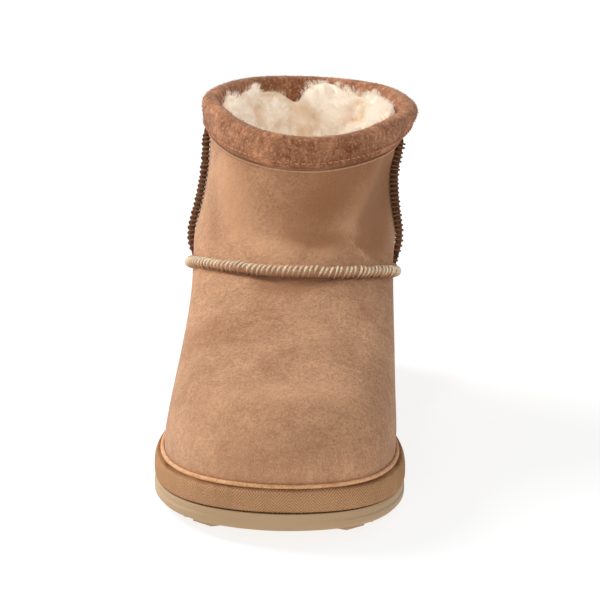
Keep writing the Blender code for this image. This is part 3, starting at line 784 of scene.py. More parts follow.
def twill_group():
    """Herringbone twill: slanted ribs that turn at each band, from places in metres along and up a strip."""
    if "herringbone" in bpy.data.node_groups:
        return bpy.data.node_groups["herringbone"]
    tree, given, out = new_group(
        "herringbone", {"Along": 0.0, "Up": 0.0, "Pitch": 0.001, "Band": 0.005},
        {"Rib": "NodeSocketFloat", "Yarn": "NodeSocketFloat"})
    zigzag = maths(tree, "PINGPONG", given["Along"], given["Band"])
    slant = maths(tree, "DIVIDE", maths(tree, "ADD", zigzag, given["Up"]), given["Pitch"])
    rib = maths(tree, "SINE", maths(tree, "MULTIPLY", slant, 2 * math.pi))
    yarn = maths(tree, "DIVIDE", given["Along"], maths(tree, "MULTIPLY", given["Pitch"], 0.5))
    yarn = maths(tree, "SINE", maths(tree, "MULTIPLY", yarn, 2 * math.pi))
    tree.links.new(spread(tree, rib, -1.0, 1.0), out["Rib"])
    tree.links.new(spread(tree, yarn, -1.0, 1.0), out["Yarn"])
    return tree


def new_material(name, roughness=0.9, sheen=0.0, tint=(1.0, 1.0, 1.0)):
    """A material with its shader, without a colour yet."""
    made = bpy.data.materials.new(name)
    made.use_nodes = True
    shader = made.node_tree.nodes["Principled BSDF"]
    shader.inputs["Roughness"].default_value = roughness
    shader.inputs["Specular IOR Level"].default_value = 0.1
    shader.inputs["Sheen Weight"].default_value = sheen
    shader.inputs["Sheen Roughness"].default_value = 0.45
    shader.inputs["Sheen Tint"].default_value = opaque(tint)
    return made, made.node_tree, shader


def bump(tree, shader, height, strength, distance):
    raised = wire(tree, "ShaderNodeBump", {"Strength": strength, "Distance": distance, "Height": height})
    tree.links.new(raised.outputs[0], shader.inputs["Normal"])


def lighter(colour, by):
    """A colour made lighter by a share, in the same hue; darker where the share is negative."""
    return tuple(min(1.0, part * (1 + by)) for part in colour)


def deeper(colour, by):
    """A colour made darker and more saturated by a share."""
    return tuple(part ** (1 + by) * (1 - by / 3) for part in colour)


def suede(name, colour, light, dark, mottle, coarse, strokes, depth):
    """Suede in one colour. Light and dark are how far its brushed patches and its nap are from the colour,
    mottle is how much they show, coarse scales the grain, strokes is how much the brush shows and depth is
    that of the nap."""
    if name in bpy.data.materials:
        return bpy.data.materials[name]
    made, tree, shader = new_material(name, 0.95, 0.15, (1.0, 0.94, 0.88))
    nap = wire(tree, "ShaderNodeGroup", node_tree=nap_group())
    for key, value in (("Colour", colour), ("Light", lighter(colour, light)), ("Dark", deeper(colour, dark))):
        nap.inputs[key].default_value = opaque(value)
    for key, value in (("Mottle", mottle), ("Coarse", coarse), ("Strokes", strokes)):
        nap.inputs[key].default_value = value
    # The ridge attribute mixes in wear, painted light and painted shade, and the next one painted light and
    # shade with a stain
    tree.links.new(painted(tree, "ridge"), nap.inputs["Ridge"])
    tree.links.new(painted(tree, "shade"), nap.inputs["Shade"])
    tree.links.new(nap.outputs["Color"], shader.inputs["Base Color"])
    tree.links.new(nap.outputs["Roughness"], shader.inputs["Roughness"])
    bump(tree, shader, nap.outputs["Height"], 0.6, depth)
    return made


def upper_suede():
    return suede(
        "brushed_suede", tuple(colours().suede),
        light=0.42, dark=0.40, mottle=0.75, coarse=1.0, strokes=0.20, depth=0.0006)


def binding_suede():
    return suede(
        "fuzzy_suede", tuple(colours().binding),
        light=0.90, dark=0.45, mottle=1.0, coarse=0.62, strokes=0.35, depth=0.0010)


def seam_edge():
    return suede(
        "raw_edge", lighter(tuple(colours().suede), 0.06),
        light=0.30, dark=0.45, mottle=0.6, coarse=0.8, strokes=0.3, depth=0.0008)


def dark_seam_edge():
    return suede(
        "dark_raw_edge", tuple(colours().dark_edge),
        light=0.60, dark=0.40, mottle=0.6, coarse=0.8, strokes=0.3, depth=0.0008)


def cut_edge():
    return suede(
        "cut_edge", lighter(tuple(colours().suede), 0.20),
        light=0.2, dark=0.3, mottle=0.5, coarse=1.0, strokes=0.2, depth=0.0003)


def rolled_edge():
    return suede(
        "rolled_edge", lighter(tuple(colours().rand), 0.12),
        light=0.3, dark=0.5, mottle=0.5, coarse=0.7, strokes=0.2, depth=0.0003)


def rand_fabric():
    """Ochre twill with a herringbone, darker between its ribs, with painted shade in the groove under its
    rolled edge.
    """
    if "woven_rand" in bpy.data.materials:
        return bpy.data.materials["woven_rand"]
    colour = tuple(colours().rand)
    made, tree, shader = new_material("woven_rand", 0.9, 0.08, lighter(colour, 0.3))
    strip = wire(tree, "ShaderNodeSeparateXYZ", {0: wire(tree, "ShaderNodeUVMap", uv_map="strip").outputs[0]})
    twill = wire(tree, "ShaderNodeGroup", node_tree=twill_group())
    tree.links.new(strip.outputs[0], twill.inputs["Along"])
    tree.links.new(strip.outputs[1], twill.inputs["Up"])
    twill.inputs["Pitch"].default_value = sizes().weave_pitch
    twill.inputs["Band"].default_value = sizes().weave_band
    places = places_on(tree)
    patches = spread(tree, grain(tree, places, 60.0, 4.0, 0.6), 0.36, 0.66)
    tone = mixed(tree, patches, opaque(lighter(colour, -0.06)), opaque(lighter(colour, 0.06)))
    dark = opaque(deeper(colour, 0.9))
    tone = mixed(tree, spread(tree, twill.outputs["Rib"], 0.0, 0.8, 0.50, 0.0), tone, dark)
    tone = mixed(tree, spread(tree, twill.outputs["Yarn"], 0.0, 1.0, 0.20, 0.0), tone, dark)
    # Painted shade in the groove under the rolled edge
    from_groove = maths(tree, "ABSOLUTE", maths(tree, "SUBTRACT", strip.outputs[1], GROOVE_HEIGHT))
    groove_shade = maths(tree, "MULTIPLY", spread(tree, from_groove, 0.0, GROOVE_REACH, 1.0, 0.0),
                   spread(tree, patches, 0.0, 1.0, 0.9, 0.5))
    tone = mixed(tree, groove_shade, tone, opaque(deeper(colour, 1.6)))
    tree.links.new(tone, shader.inputs["Base Color"])
    fuzz = grain(tree, places, 2600.0, 2.0)
    height = maths(tree, "ADD", twill.outputs["Rib"], maths(tree, "MULTIPLY", twill.outputs["Yarn"], 0.35))
    bump(tree, shader, maths(tree, "ADD", height, maths(tree, "MULTIPLY", fuzz, 0.5)), 0.8, 0.0005)
    return made


def thread(name, colour, tail=None):
    """Twisted thread: each stitch in a slightly different tone, with fine fibres. Its ends have the tail's
    colour."""
    if name in bpy.data.materials:
        return bpy.data.materials[name]
    made, tree, shader = new_material(name, 0.8, 0.05, lighter(colour, 0.3))
    places = places_on(tree)
    twist = maths(tree, "SINE", maths(tree, "MULTIPLY", painted(tree, "along"), THREAD_TWIST))
    dull, bright, dark = (opaque(lighter(colour, by)) for by in (-0.12, 0.25, -0.5))
    tone = mixed(tree, painted(tree, "chance"), dull, bright)
    tone = mixed(tree, spread(tree, twist, -1.0, 1.0, 0.30, 0.0), tone, dark)
    from_middle = maths(tree, "ABSOLUTE", maths(tree, "SUBTRACT", painted(tree, "along"), 0.5))
    tone = mixed(tree, spread(tree, from_middle, TAIL_START, TAIL_END), tone, opaque(tail or colour))
    tree.links.new(tone, shader.inputs["Base Color"])
    height = maths(tree, "ADD", twist, grain(tree, places, 5200.0, 2.0))
    bump(tree, shader, height, 0.5, 0.0001)
    return made


def fleece():
    """Wool: warm and darker at the roots and in the clefts as painted shade, pale at the tips, with a faint
    painted glow, and fine curls on the base.
    """
    if "soft_wool" in bpy.data.materials:
        return bpy.data.materials["soft_wool"]
    made, tree, shader = new_material("soft_wool", 1.0, 0.25, (1.0, 0.97, 0.92))
    places = places_on(tree)
    # Painted shade: the wool darker and warmer towards its roots and in the clefts, through the tones it
    # carries
    root, tip = opaque(colours().wool_root_shade), opaque(colours().wool)
    tone = mixed(tree, spread(tree, painted(tree, "along"), 0.0, 0.8), root, tip)
    pale = spread(tree, painted(tree, "chance"), 0.5, 1.0, 0.0, 0.6)
    tone = mixed(tree, pale, tone, (1.0, 0.96, 0.90, 1.0))
    tree.links.new(tone, shader.inputs["Base Color"])
    # A painted glow: the wool gives off a little light of its own colour
    tree.links.new(tone, shader.inputs["Emission Color"])
    shader.inputs["Emission Strength"].default_value = WOOL_PAINTED_GLOW
    bump(tree, shader, grain(tree, places, 1500.0, 4.0, 0.7), 0.5, 0.0005)
    return made


def sole_foam():
    """Matt foam rubber: finely pitted, with faint moulded lines on its side, and darker towards the toe as
    painted shade.
    """
    if "moulded_foam" in bpy.data.materials:
        return bpy.data.materials["moulded_foam"]
    colour = tuple(colours().sole)
    made, tree, shader = new_material("moulded_foam", 0.72)
    places = places_on(tree)
    high = wire(tree, "ShaderNodeSeparateXYZ", {0: places}).outputs[2]
    patches = spread(tree, grain(tree, places, 45.0, 4.0, 0.6), 0.36, 0.66)
    scuffs = grain(tree, stretched(tree, places, 0.35, 0.35, 3.0), 260.0, 4.0, 0.6)
    scuffs = spread(tree, scuffs, 0.52, 0.72)
    pits = grain(tree, places, 1900.0, 2.0)
    lines = maths(tree, "SINE", maths(tree, "MULTIPLY", high, 2 * math.pi / MOULD_PITCH))
    dull, bright, worn, dark = (opaque(lighter(colour, by)) for by in (-0.08, 0.06, 0.25, -0.35))
    tone = mixed(tree, patches, dull, bright)
    tone = mixed(tree, maths(tree, "MULTIPLY", scuffs, 0.35), tone, worn)
    tone = mixed(tree, spread(tree, pits, 0.42, 0.30, 0.0, 0.5), tone, dark)
    tone = mixed(tree, spread(tree, lines, 0.2, 1.0, 0.0, 0.22), tone, dark)
    # Painted shade: the sole darker towards the toe
    tone = mixed(tree, painted(tree, "soil"), tone, opaque(deeper(colour, 0.35)))
    tree.links.new(tone, shader.inputs["Base Color"])
    tree.links.new(spread(tree, scuffs, 0.0, 1.0, 0.66, 0.85), shader.inputs["Roughness"])
    height = maths(tree, "ADD", pits, maths(tree, "MULTIPLY", lines, 0.12))
    bump(tree, shader, height, 0.35, 0.0003)
    return made


# Pieces


def upper_wall():
    """The surface of the finished upper, on which stitches are sewn."""
    return surface_of(bpy.data.objects["suede_upper"].data)


class BOOT_OT_upper(bpy.types.Operator):
    """Make the suede upper, with its creases and folds"""

    bl_idname = "boot.upper"
    bl_label = "Suede upper"

    def execute(self, context):
        piece = dressed("upper", "suede_upper", 3)
        # Painted light and shade on the suede, with one real stain
        paint(piece.data, "shade", shade(points_of(piece.data)))
        fold(piece)
        settle(piece, upper_suede(), "suede", "upper")
        return {"FINISHED"}


def rand_profile(count):
    """Round the rand: angles, the places of its outer face, the heights of its bottom and the middles of its
    top."""
    angles = np.linspace(0, 2 * math.pi, count, endpoint=False)
    sections = fan_slices(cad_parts["rand"].data, BOOT_MIDDLE, angles)
    centre = np.array(spot(*BOOT_MIDDLE))
    outer = [section[np.argmax(np.linalg.norm((section - centre)[:, :2], axis=1))] for section in sections]
    bottom = [section[:, 2].min() for section in sections]
    crest = [section[section[:, 2] > section[:, 2].max() - CREST_DEPTH].mean(0) for section in sections]
    return angles, np.array(outer), np.array(bottom), np.array(crest)


def lay_strip(data, angles, outer, bottom):
    """Maps a band round the boot: metres along it and metres up it."""
    centre = np.array(spot(*BOOT_MIDDLE))
    run = run_of(np.concatenate((outer, outer[:1])))
    points = points_of(data)
    away = points - centre
    turn = np.arctan2(away[:, 0], -away[:, 1]) % (2 * math.pi)
    ends = np.append(angles, 2 * math.pi)
    along = np.interp(turn, ends, run)
    up = points[:, 2] - np.interp(turn, ends, np.append(bottom, bottom[0]))
    loops = np.empty(len(data.loops), np.int32)
    data.loops.foreach_get("vertex_index", loops)
    places = np.stack((along, up), 1)[loops]
    for face in data.polygons:
        span = places[face.loop_start:face.loop_start + face.loop_total, 0]
        if np.ptp(span) > run[-1] / 2:
            span[span < run[-1] / 2] += run[-1]
    data.uv_layers.new(name="strip").data.foreach_set("uv", places.astype(np.float32).ravel())


def ring_tube(name, line, radius):
    """A closed tube through a ring of points."""
    curve = bpy.data.curves.new(name, "CURVE")
    curve.dimensions = "3D"
    curve.bevel_depth = radius
    curve.bevel_resolution = 3
    spline = curve.splines.new("POLY")
    spline.points.add(len(line) - 1)
    spline.points.foreach_set("co", np.column_stack((line, np.ones(len(line)))).ravel())
    spline.use_cyclic_u = True
    holder = link(name + "_curve", curve)
    data = bpy.data.meshes.new_from_object(holder.evaluated_get(bpy.context.evaluated_depsgraph_get()))
    bpy.data.objects.remove(holder)
    data.name = name
    data.shade_smooth()
    return link(name, data)


class BOOT_OT_rand(bpy.types.Operator):
    """Make the fabric rand and the rolled edge on top of it"""

    bl_idname = "boot.rand"
    bl_label = "Fabric rand"

    def execute(self, context):
        angles, outer, bottom, crest = rand_profile(RAND_SECTIONS)
        band = dressed("rand", "fabric_rand", 2)
        lay_strip(band.data, angles, outer, bottom)
        settle(band, rand_fabric(), "rand_fabric", "rand")
        places, out = seat(crest, upper_wall())
        line = places + out * sizes().bead * BEAD_OUT
        line[:, 2] = crest[:, 2] + sizes().bead * BEAD_RISE
        bead = ring_tube("rand_bead", line, sizes().bead)
        settle(bead, rolled_edge(), "rand_fabric")
        return {"FINISHED"}


class BOOT_OT_binding(bpy.types.Operator):
    """Make the folded suede binding round the collar, its stitches and its fuzz"""

    bl_idname = "boot.binding"
    bl_label = "Collar binding"

    def execute(self, context):
        piece = dressed("collar_binding", "suede_binding", 2)
        fold(piece)
        move_points(piece.data, points_of(piece.data) + normals_of(piece.data) * BINDING_PLUMP)
        settle(piece, binding_suede(), "binding_suede", "collar_binding")
        angles = np.linspace(0, 2 * math.pi, BINDING_SECTIONS, endpoint=False)
        centre = np.array(spot(*SHAFT_MIDDLE))
        edge = []
        for section in fan_slices(piece.data, SHAFT_MIDDLE, angles):
            away = np.linalg.norm((section - centre)[:, :2], axis=1)
            outside = section[away > (away.min() + away.max()) / 2]
            edge.append(outside[np.argmin(outside[:, 2])])
        edge = smooth_ring(np.array(edge))
        row = edge + unit((edge - centre) * (1, 1, 0)) * ROW_OUT + (0, 0, ROW_RISE)
        row, out = seat(row, surface_of(piece.data))
        row = smooth_ring(row)
        row, out = np.concatenate((row, row[:1])), np.concatenate((out, out[:1]))
        finish = thread("binding_thread", lighter(tuple(colours().binding), 0.65))
        lock_stitches("binding_stitches", row, out, ROW_PITCH, sizes().fine_thread, finish, "binding_suede")
        places, out = seat(edge, upper_wall())
        line = places + out * EDGE_OUT
        line[:, 2] -= EDGE_DROP
        settle(ring_tube("binding_cut_edge", line, EDGE_RADIUS), cut_edge(), "binding_suede")
        self.fuzz(piece)
        return {"FINISHED"}

    def fuzz(self, piece):
        """Short loose fibres that stand off the binding."""
        chance = np.random.default_rng(SEED)
        roots, normals = scatter(piece.data, sizes().nap_strands, chance)
        lean = unit(normals + chance.normal(0, FUZZ_LEAN, roots.shape))
        t = np.linspace(0, 1, len(FUZZ_WIDTHS) + 1)[:, None]
        length = chance.uniform(FUZZ_SHORT, FUZZ_LONG, (len(roots), 1, 1))
        bend = chance.normal(0, FUZZ_BEND, roots.shape)[:, None]
        lines = roots[:, None] - normals[:, None] * FUZZ_ROOT + length * (lean[:, None] * t + bend * t ** 2)
        tint = np.tile((0.0, 1.0), (len(roots), 1))
        finish = thread("fuzz", lighter(tuple(colours().binding), 0.08))
        settle(ribbons("binding_fuzz", lines, FUZZ_WIDTHS, tint, chance), finish, "binding_suede")


def scatter(data, count, chance, weight=None):
    """Chance places spread evenly over a mesh, and its normals there. Weight is a function of the triangles'
    middles and normals that thins them out."""
    corners = corners_of(data)
    cross = np.cross(corners[:, 1] - corners[:, 0], corners[:, 2] - corners[:, 0])
    area = np.linalg.norm(cross, axis=1)
    normals = cross / np.maximum(area, 1e-15)[:, None]
    share = area if weight is None else area * weight(corners.mean(1), normals)
    picked = chance.choice(len(corners), count, p=share / share.sum())
    u, v = chance.random((2, count, 1))
    over = u + v > 1
    u, v = np.where(over, 1 - u, u), np.where(over, 1 - v, v)
    a, b, c = corners[picked].transpose(1, 0, 2)
    return a + (b - a) * u + (c - a) * v, normals[picked]


def soft_chance(places, size):
    """Chance values that change softly over a size in metres, at many places; most are from -0.6 to 0.6."""
    return np.array([noise.noise(Vector(place) / size) for place in places])


def puff(places):
    """How full the fleece is at many places: 0 in the clefts between its puffs and 1 on top of them."""
    large = np.abs(soft_chance(places, PUFF_SIZE))
    small = np.abs(soft_chance(places + PUFF_SHIFT, PUFF_SIZE / PUFF_SMALLER))
    return np.clip(PUFF_LARGE * large + PUFF_SMALL * small, 0, 1)


def looks_inside(points, normals):
    """Whether the face at each of many points looks to the inside of the boot."""
    return (normals * outward(points)).sum(1) < INSIDE


def swell(piece, rise):
    """Raises the fleece in soft puffs on what faces the inside of the boot, and paints how full it is, which
    darkens the clefts as painted shade.
    """
    points, normals = points_of(piece.data), normals_of(piece.data)
    full = puff(points)
    lift = (full - 0.5) * rise * looks_inside(points, normals)
    move_points(piece.data, points + normals * lift[:, None])
    # Painted shade: the base is darker in the clefts between the puffs
    paint(piece.data, "along", CLEFT_TONE + PUFF_TONE * full)
    paint(piece.data, "chance", np.zeros(len(points)))


def ribbons(name, lines, widths, tint, chance):
    """One mesh of flat strands that taper to a point along many lines, an array of (count, points, 3). Widths
    has one number for each point but the last. Tint is where each strand starts and ends between the colours
    of root and tip."""
    count, points = lines.shape[:2]
    ahead = unit(np.gradient(lines, axis=1))
    side = unit(np.cross(ahead, unit(chance.normal(0, 1, (count, 1, 3)))))[:, :-1]
    half = side * np.asarray(widths)[None, :, None] / 2
    pairs = np.stack((lines[:, :-1] - half, lines[:, :-1] + half), 2).reshape(count, -1, 3)
    places = np.concatenate((pairs, lines[:, -1:]), 1)
    size = places.shape[1]
    first = np.arange(count)[:, None, None] * size + 2 * np.arange(points - 2)[None, :, None]
    walls = (first + np.array((0, 1, 3, 2))).reshape(-1, 4)
    ends = np.arange(count)[:, None] * size + np.array((size - 3, size - 2, size - 1))
    data = bpy.data.meshes.new(name)
    data.from_pydata(places.reshape(-1, 3), [], [*walls.tolist(), *ends.tolist()])
    along = np.append(np.repeat(np.linspace(0, 1, points)[:-1], 2), 1)
    paint(data, "along", (tint[:, :1] + (tint[:, 1:] - tint[:, :1]) * along).ravel())
    paint(data, "chance", np.repeat(chance.random(count), size))
    data.shade_smooth()
    return link(name, data)


def wool(name, count, data, length, weight, chance, rim=None):
    """Short soft wool that curls in small locks. Rim is a function that gives the height of the collar's rim
    at many places."""
    strands = sizes().lock_strands
    locks = count // strands
    seeds, normals = scatter(data, locks, chance, weight)
    lean = np.stack([soft_chance(seeds + axis * PUFF_SHIFT, LEAN_SIZE) for axis in (1, 2, 3)], 1)
    lean = lean * LEAN_SHARE + chance.normal(0, LEAN_CHANCE, (locks, 3))
    full = puff(seeds)
    near = np.clip(1 - (rim(seeds) - seeds[:, 2]) / RIM_REACH, 0, 1) if rim else np.zeros(locks)
    lean[:, 2] += near * RIM_LIFT

    def each(values):
        return np.repeat(values, strands, 0)

    helper = unit(chance.normal(0, 1, (locks, 3)))
    side = unit(np.cross(normals, helper))
    over = np.cross(normals, side)
    all_strands = (locks * strands, 1)
    radius = LOCK_REACH * np.sqrt(chance.random(all_strands))
    angle = chance.uniform(0, 2 * math.pi, all_strands)
    apart = each(side) * radius * np.cos(angle) + each(over) * radius * np.sin(angle)
    long = each((WOOL_LEAST + WOOL_ON_PUFF * full + WOOL_AT_RIM * near)[:, None])
    long = long * chance.uniform(STRAND_SHORT, STRAND_LONG, all_strands) * length
    phase = each(chance.uniform(0, 2 * math.pi, (locks, 1))) + chance.normal(0, WIND_CHANCE, all_strands)
    turns = each(chance.uniform(TURN_LEAST, TURN_MOST, (locks, 1)))
    curl = each(chance.uniform(CURL_LEAST, CURL_MOST, (locks, 1)))
    lines = []
    for t in np.linspace(0, 1, WOOL_POINTS):
        wind = phase + turns * t
        middle = each(seeds - normals * WOOL_ROOT) + each(normals) * long * (t - WOOL_DROOP * t ** 2)
        middle = middle + each(lean) * long * t ** WOOL_BEND
        middle = middle + (each(side) * np.cos(wind) + each(over) * np.sin(wind)) * curl * t
        lines.append(middle + apart * (1 - WOOL_CLOSE * t))
    lines = np.stack(lines, 1)
    lines[:, 1:] += chance.normal(0, WOOL_STRAY, lines[:, 1:].shape)
    # Painted shade: darker roots, and darker strands in the clefts between the puffs
    tint = np.column_stack((ROOT_TONE * each(full), TIP_TONE + TIP_ON_PUFF * each(full)))
    if rim:
        over_rim = np.maximum(lines[:, :, 2] - (rim(lines[:, -1]) - RIM_CLEAR)[:, None], 0)
        lines[:, :, 2] -= RIM_PULL * over_rim
    return ribbons(name, lines, WOOL_WIDTHS, tint, chance)


def wool_weight(middles, normals):
    """Where wool grows: on what faces the inside of the boot, thinner towards the foot."""
    high = np.clip((middles[:, 2] / UPPER_TOP - THIN_START) / THIN_REACH, THIN_LEAST, 1)
    return looks_inside(middles, normals) * high


def rim_height():
    """A function that gives the height of the collar's rim at many places round the shaft."""
    angles = np.linspace(-math.pi, math.pi, RIM_SECTIONS)
    sections = fan_slices(bpy.data.objects["suede_binding"].data, SHAFT_MIDDLE, angles)
    tops = np.array([section[:, 2].max() for section in sections])
    centre = spot(*SHAFT_MIDDLE)

    def height(places):
        return np.interp(np.arctan2(places[:, 0] - centre.x, centre.y - places[:, 1]), angles, tops)

    return height


class BOOT_OT_lining(bpy.types.Operator):
    """Make the fleece lining and the curled locks of its wool"""

    bl_idname = "boot.lining"
    bl_label = "Fleece lining"

    def execute(self, context):
        base = dressed("fleece_lining", "fleece_base", 2)
        fold(base)
        swell(base, PUFF_RISE)
        settle(base, fleece(), "fleece", "fleece_lining")
        chance, rim = np.random.default_rng(SEED), rim_height()
        count = sizes().wool_strands // WOOL_PARTS
        for part in range(WOOL_PARTS):
            strands = wool(f"wool_{part}", count, base.data, sizes().wool_length, wool_weight, chance, rim)
            settle(strands, fleece(), "fleece")
        return {"FINISHED"}


class BOOT_OT_footbed(bpy.types.Operator):
    """Make the fleece footbed, with short wool"""

    bl_idname = "boot.footbed"
    bl_label = "Fleece footbed"

    def execute(self, context):
        base = dressed("footbed", "fleece_footbed", 2)
        # Painted shade: the footbed's base a darker tone between root and tip
        paint(base.data, "along", np.full(len(base.data.vertices), FOOTBED_TONE))
        settle(base, fleece(), "fleece", "footbed")
        strands = wool("wool_footbed", FOOTBED_STRANDS, base.data, sizes().wool_length * FOOTBED_LENGTH,
                       lambda middles, normals: normals[:, 2] > FOOTBED_UP, np.random.default_rng(SEED))
        settle(strands, fleece(), "fleece")
        return {"FINISHED"}


class BOOT_OT_seams(bpy.types.Operator):
    """Make the raised seams and the overlock stitches wrapped over them"""

    bl_idname = "boot.seams"
    bl_label = "Raised seams"

    def execute(self, context):
        dark = thread("side_thread", tuple(colours().tan_thread))
        cream = thread("instep_thread", tuple(colours().cream_thread), tuple(colours().suede))
        for node, name in (
                ("seam_side_lateral", "side_seam_lateral"), ("seam_side_medial", "side_seam_medial"),
                ("seam_back", "back_seam")):
            roll = self.roll(node, name, dark_seam_edge())
            middles = [section.mean(0) for section in level_slices(roll.data, SEAM_TRIM, SEAM_SECTIONS)]
            self.sew(name.replace("seam", "stitches"), middles, sizes().seam_width, SIDE_SLANT, dark)
        roll = self.roll("seam_instep", "instep_seam", seam_edge())
        angles = np.linspace(-INSTEP_REACH, INSTEP_REACH, INSTEP_SECTIONS)
        sections = fan_slices(roll.data, SHAFT_MIDDLE, angles)
        middles = [section.mean(0) for section in sections if len(section)]
        self.sew("instep_stitches", middles, sizes().instep_width, INSTEP_SLANT, cream)
        return {"FINISHED"}

    def roll(self, node, name, finish):
        """The two cut edges of suede of a seam, swollen by the thread that holds them."""
        roll = dressed(node, name, 2)
        fold(roll)
        move_points(roll.data, points_of(roll.data) + normals_of(roll.data) * SEAM_PLUMP)
        return settle(roll, finish, "seam_edge", node)

    def sew(self, name, middles, width, slant, finish):
        size = sizes()
        overlock(name, *seat(middles, upper_wall()), size.stitch_pitch, size.thread, width, size.seam_height,
                 slant, finish, "seam_edge")


class BOOT_OT_counter(bpy.types.Operator):
    """Make the suede patch on the heel, sewn along its edge"""

    bl_idname = "boot.counter"
    bl_label = "Heel counter"

    def execute(self, context):
        patch = dressed("heel_counter", "counter_patch", 3, sharp=SHARP_PATCH)
        fold(patch)
        settle(patch, upper_suede(), "suede", "heel_counter")
        angles = np.linspace(math.pi - COUNTER_REACH, math.pi + COUNTER_REACH, COUNTER_SECTIONS)
        face = surface_of(patch.data)
        line = []
        for section in fan_slices(patch.data, HEEL_MIDDLE, angles):
            if len(section):
                top = section[np.argmax(section[:, 2])]
                line.append(top - np.array((0, 0, COUNTER_INSET)))
        finish = thread("counter_thread", lighter(tuple(colours().suede), -0.15))
        row, out = seat(line, face)
        lock_stitches("counter_stitches", row, out, COUNTER_PITCH, sizes().fine_thread, finish, "suede")
        return {"FINISHED"}


class BOOT_OT_outsole(bpy.types.Operator):
    """Make the moulded foam sole"""

    bl_idname = "boot.outsole"
    bl_label = "Outsole"

    def execute(self, context):
        sole = dressed("outsole", "foam_outsole", 2, sharp=SHARP_SOLE)
        forward = (SOLE_HIGH.y - points_of(sole.data)[:, 1]) / SOLE_LENGTH
        # Painted shade towards the toe
        paint(sole.data, "soil", np.clip((forward - TOE_SHADE_START) / (TOE_SHADE_END - TOE_SHADE_START), 0, 1))
        sole.data.set_sharp_from_angle(angle=math.radians(SHARP_SHADING))
        settle(sole, sole_foam(), "sole_foam", "outsole")
        return {"FINISHED"}


# Stage


def new_light(name, kind, place, target, power, colour):
    """A light that looks at a place."""
    lamp = bpy.data.lights.new(name, kind)
    lamp.energy = power
    lamp.color = colour
    holder = link(name, lamp)
    holder.location = place
    holder.rotation_euler = (Vector(target) - Vector(place)).to_track_quat("-Z", "Y").to_euler()
    return lamp


def soft_light(name, place, power, colour):
    """A wide disk of light on the whole boot."""
    lamp = new_light(name, "AREA", place, LIGHT_AIM, power, colour)
    lamp.shape = "DISK"
    lamp.size = LAMP_SIZE


def narrow_light(name, place, target, cone, power, colour):
    """A spot with soft edges. Cone is its full angle in degrees."""
    lamp = new_light(name, "SPOT", place, target, power, colour)
    lamp.spot_size = math.radians(cone)
    lamp.spot_blend = 1.0
    lamp.shadow_soft_size = SPOT_SIZE


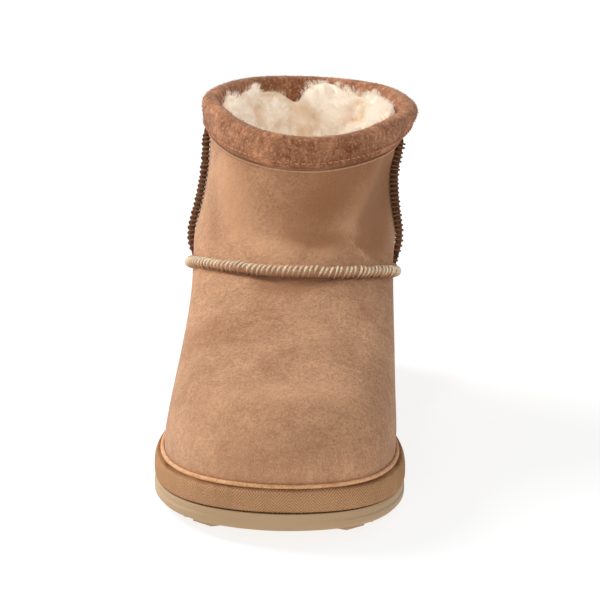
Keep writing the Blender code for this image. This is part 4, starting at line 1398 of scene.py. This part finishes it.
class BOOT_OT_stage(bpy.types.Operator):
    """Make the floor, the soft lights, the spot on the collar and the camera"""

    bl_idname = "boot.stage"
    bl_label = "Stage"

    def execute(self, context):
        mesh = bmesh.new()
        bmesh.ops.create_grid(mesh, x_segments=1, y_segments=1, size=FLOOR_HALF)
        data = bpy.data.meshes.new("floor")
        mesh.to_mesh(data)
        mesh.free()
        floor = link("floor", data)
        white = (1.0, 1.0, 1.0)
        made, _, shader = new_material("pale_floor", 0.9)
        shader.inputs["Base Color"].default_value = opaque((FLOOR_TONE, FLOOR_TONE, FLOOR_TONE))
        shader.inputs["Emission Color"].default_value = opaque(white)
        shader.inputs["Emission Strength"].default_value = FLOOR_GLOW
        data.materials.append(made)
        world = bpy.data.worlds.new("studio")
        world.use_nodes = True
        world.node_tree.nodes["Background"].inputs[0].default_value = opaque(white)
        world.node_tree.nodes["Background"].inputs[1].default_value = WORLD_STRENGTH
        context.scene.world = world
        soft_light("key", (-1.18, 0.55, 1.25), power=29.0, colour=(1.0, 0.985, 0.96))
        soft_light("front", (0.0, -1.68, 0.70), power=5.0, colour=white)
        soft_light("top", (-0.15, 0.05, 1.85), power=2.0, colour=white)
        narrow_light(
            "collar", (-0.12, -0.30, 0.94), COLLAR_AIM, cone=11.0, power=10.5, colour=(1.0, 0.97, 0.92))
        self.camera(context)
        context.scene.view_settings.view_transform = "Standard"
        return {"FINISHED"}

    def camera(self, context):
        """The camera looks at the toe from a little to the medial side and above, with a long lens."""
        level = math.cos(CAMERA_RISE)
        back = Vector((math.sin(CAMERA_TURN) * level, -math.cos(CAMERA_TURN) * level, math.sin(CAMERA_RISE)))
        lens = bpy.data.cameras.new("camera")
        lens.sensor_width = CAMERA_SENSOR
        lens.lens = CAMERA_LENS
        holder = bpy.data.objects.new("camera", lens)
        context.scene.collection.objects.link(holder)
        holder.location = Vector(CAMERA_AIM) + back * CAMERA_AWAY
        holder.rotation_euler = (-back).to_track_quat("-Z", "Y").to_euler()
        context.scene.camera = holder


class BOOT_PT_panel(bpy.types.Panel):
    """Lists the pieces of the boot's finish and its sizes and colours"""

    bl_label = "Boot finish"
    bl_idname = "BOOT_PT_panel"
    bl_space_type = "VIEW_3D"
    bl_region_type = "UI"
    bl_category = "Boot"

    def draw(self, context):
        for part in PIECES:
            self.layout.operator(part.bl_idname)
        for group in (context.scene.boot_sizes, context.scene.boot_colours):
            for key in group.__annotations__:
                self.layout.prop(group, key)


PIECES = (BOOT_OT_upper, BOOT_OT_outsole, BOOT_OT_rand, BOOT_OT_counter, BOOT_OT_seams, BOOT_OT_binding,
          BOOT_OT_lining, BOOT_OT_footbed, BOOT_OT_stage)
CLASSES = (BootSizes, BootColours, *PIECES, BOOT_PT_panel)


def register():
    for part in CLASSES:
        bpy.utils.register_class(part)
    bpy.types.Scene.boot_sizes = PointerProperty(type=BootSizes)
    bpy.types.Scene.boot_colours = PointerProperty(type=BootColours)


def unregister():
    del bpy.types.Scene.boot_colours
    del bpy.types.Scene.boot_sizes
    for part in reversed(CLASSES):
        bpy.utils.unregister_class(part)


FOLD_LINES = fold_lines()


def main():
    register()
    bpy.ops.boot.upper()
    bpy.ops.boot.outsole()
    bpy.ops.boot.rand()
    bpy.ops.boot.counter()
    bpy.ops.boot.seams()
    bpy.ops.boot.binding()
    bpy.ops.boot.lining()
    bpy.ops.boot.footbed()
    bpy.ops.boot.stage()


if __name__ == "__main__":
    main()
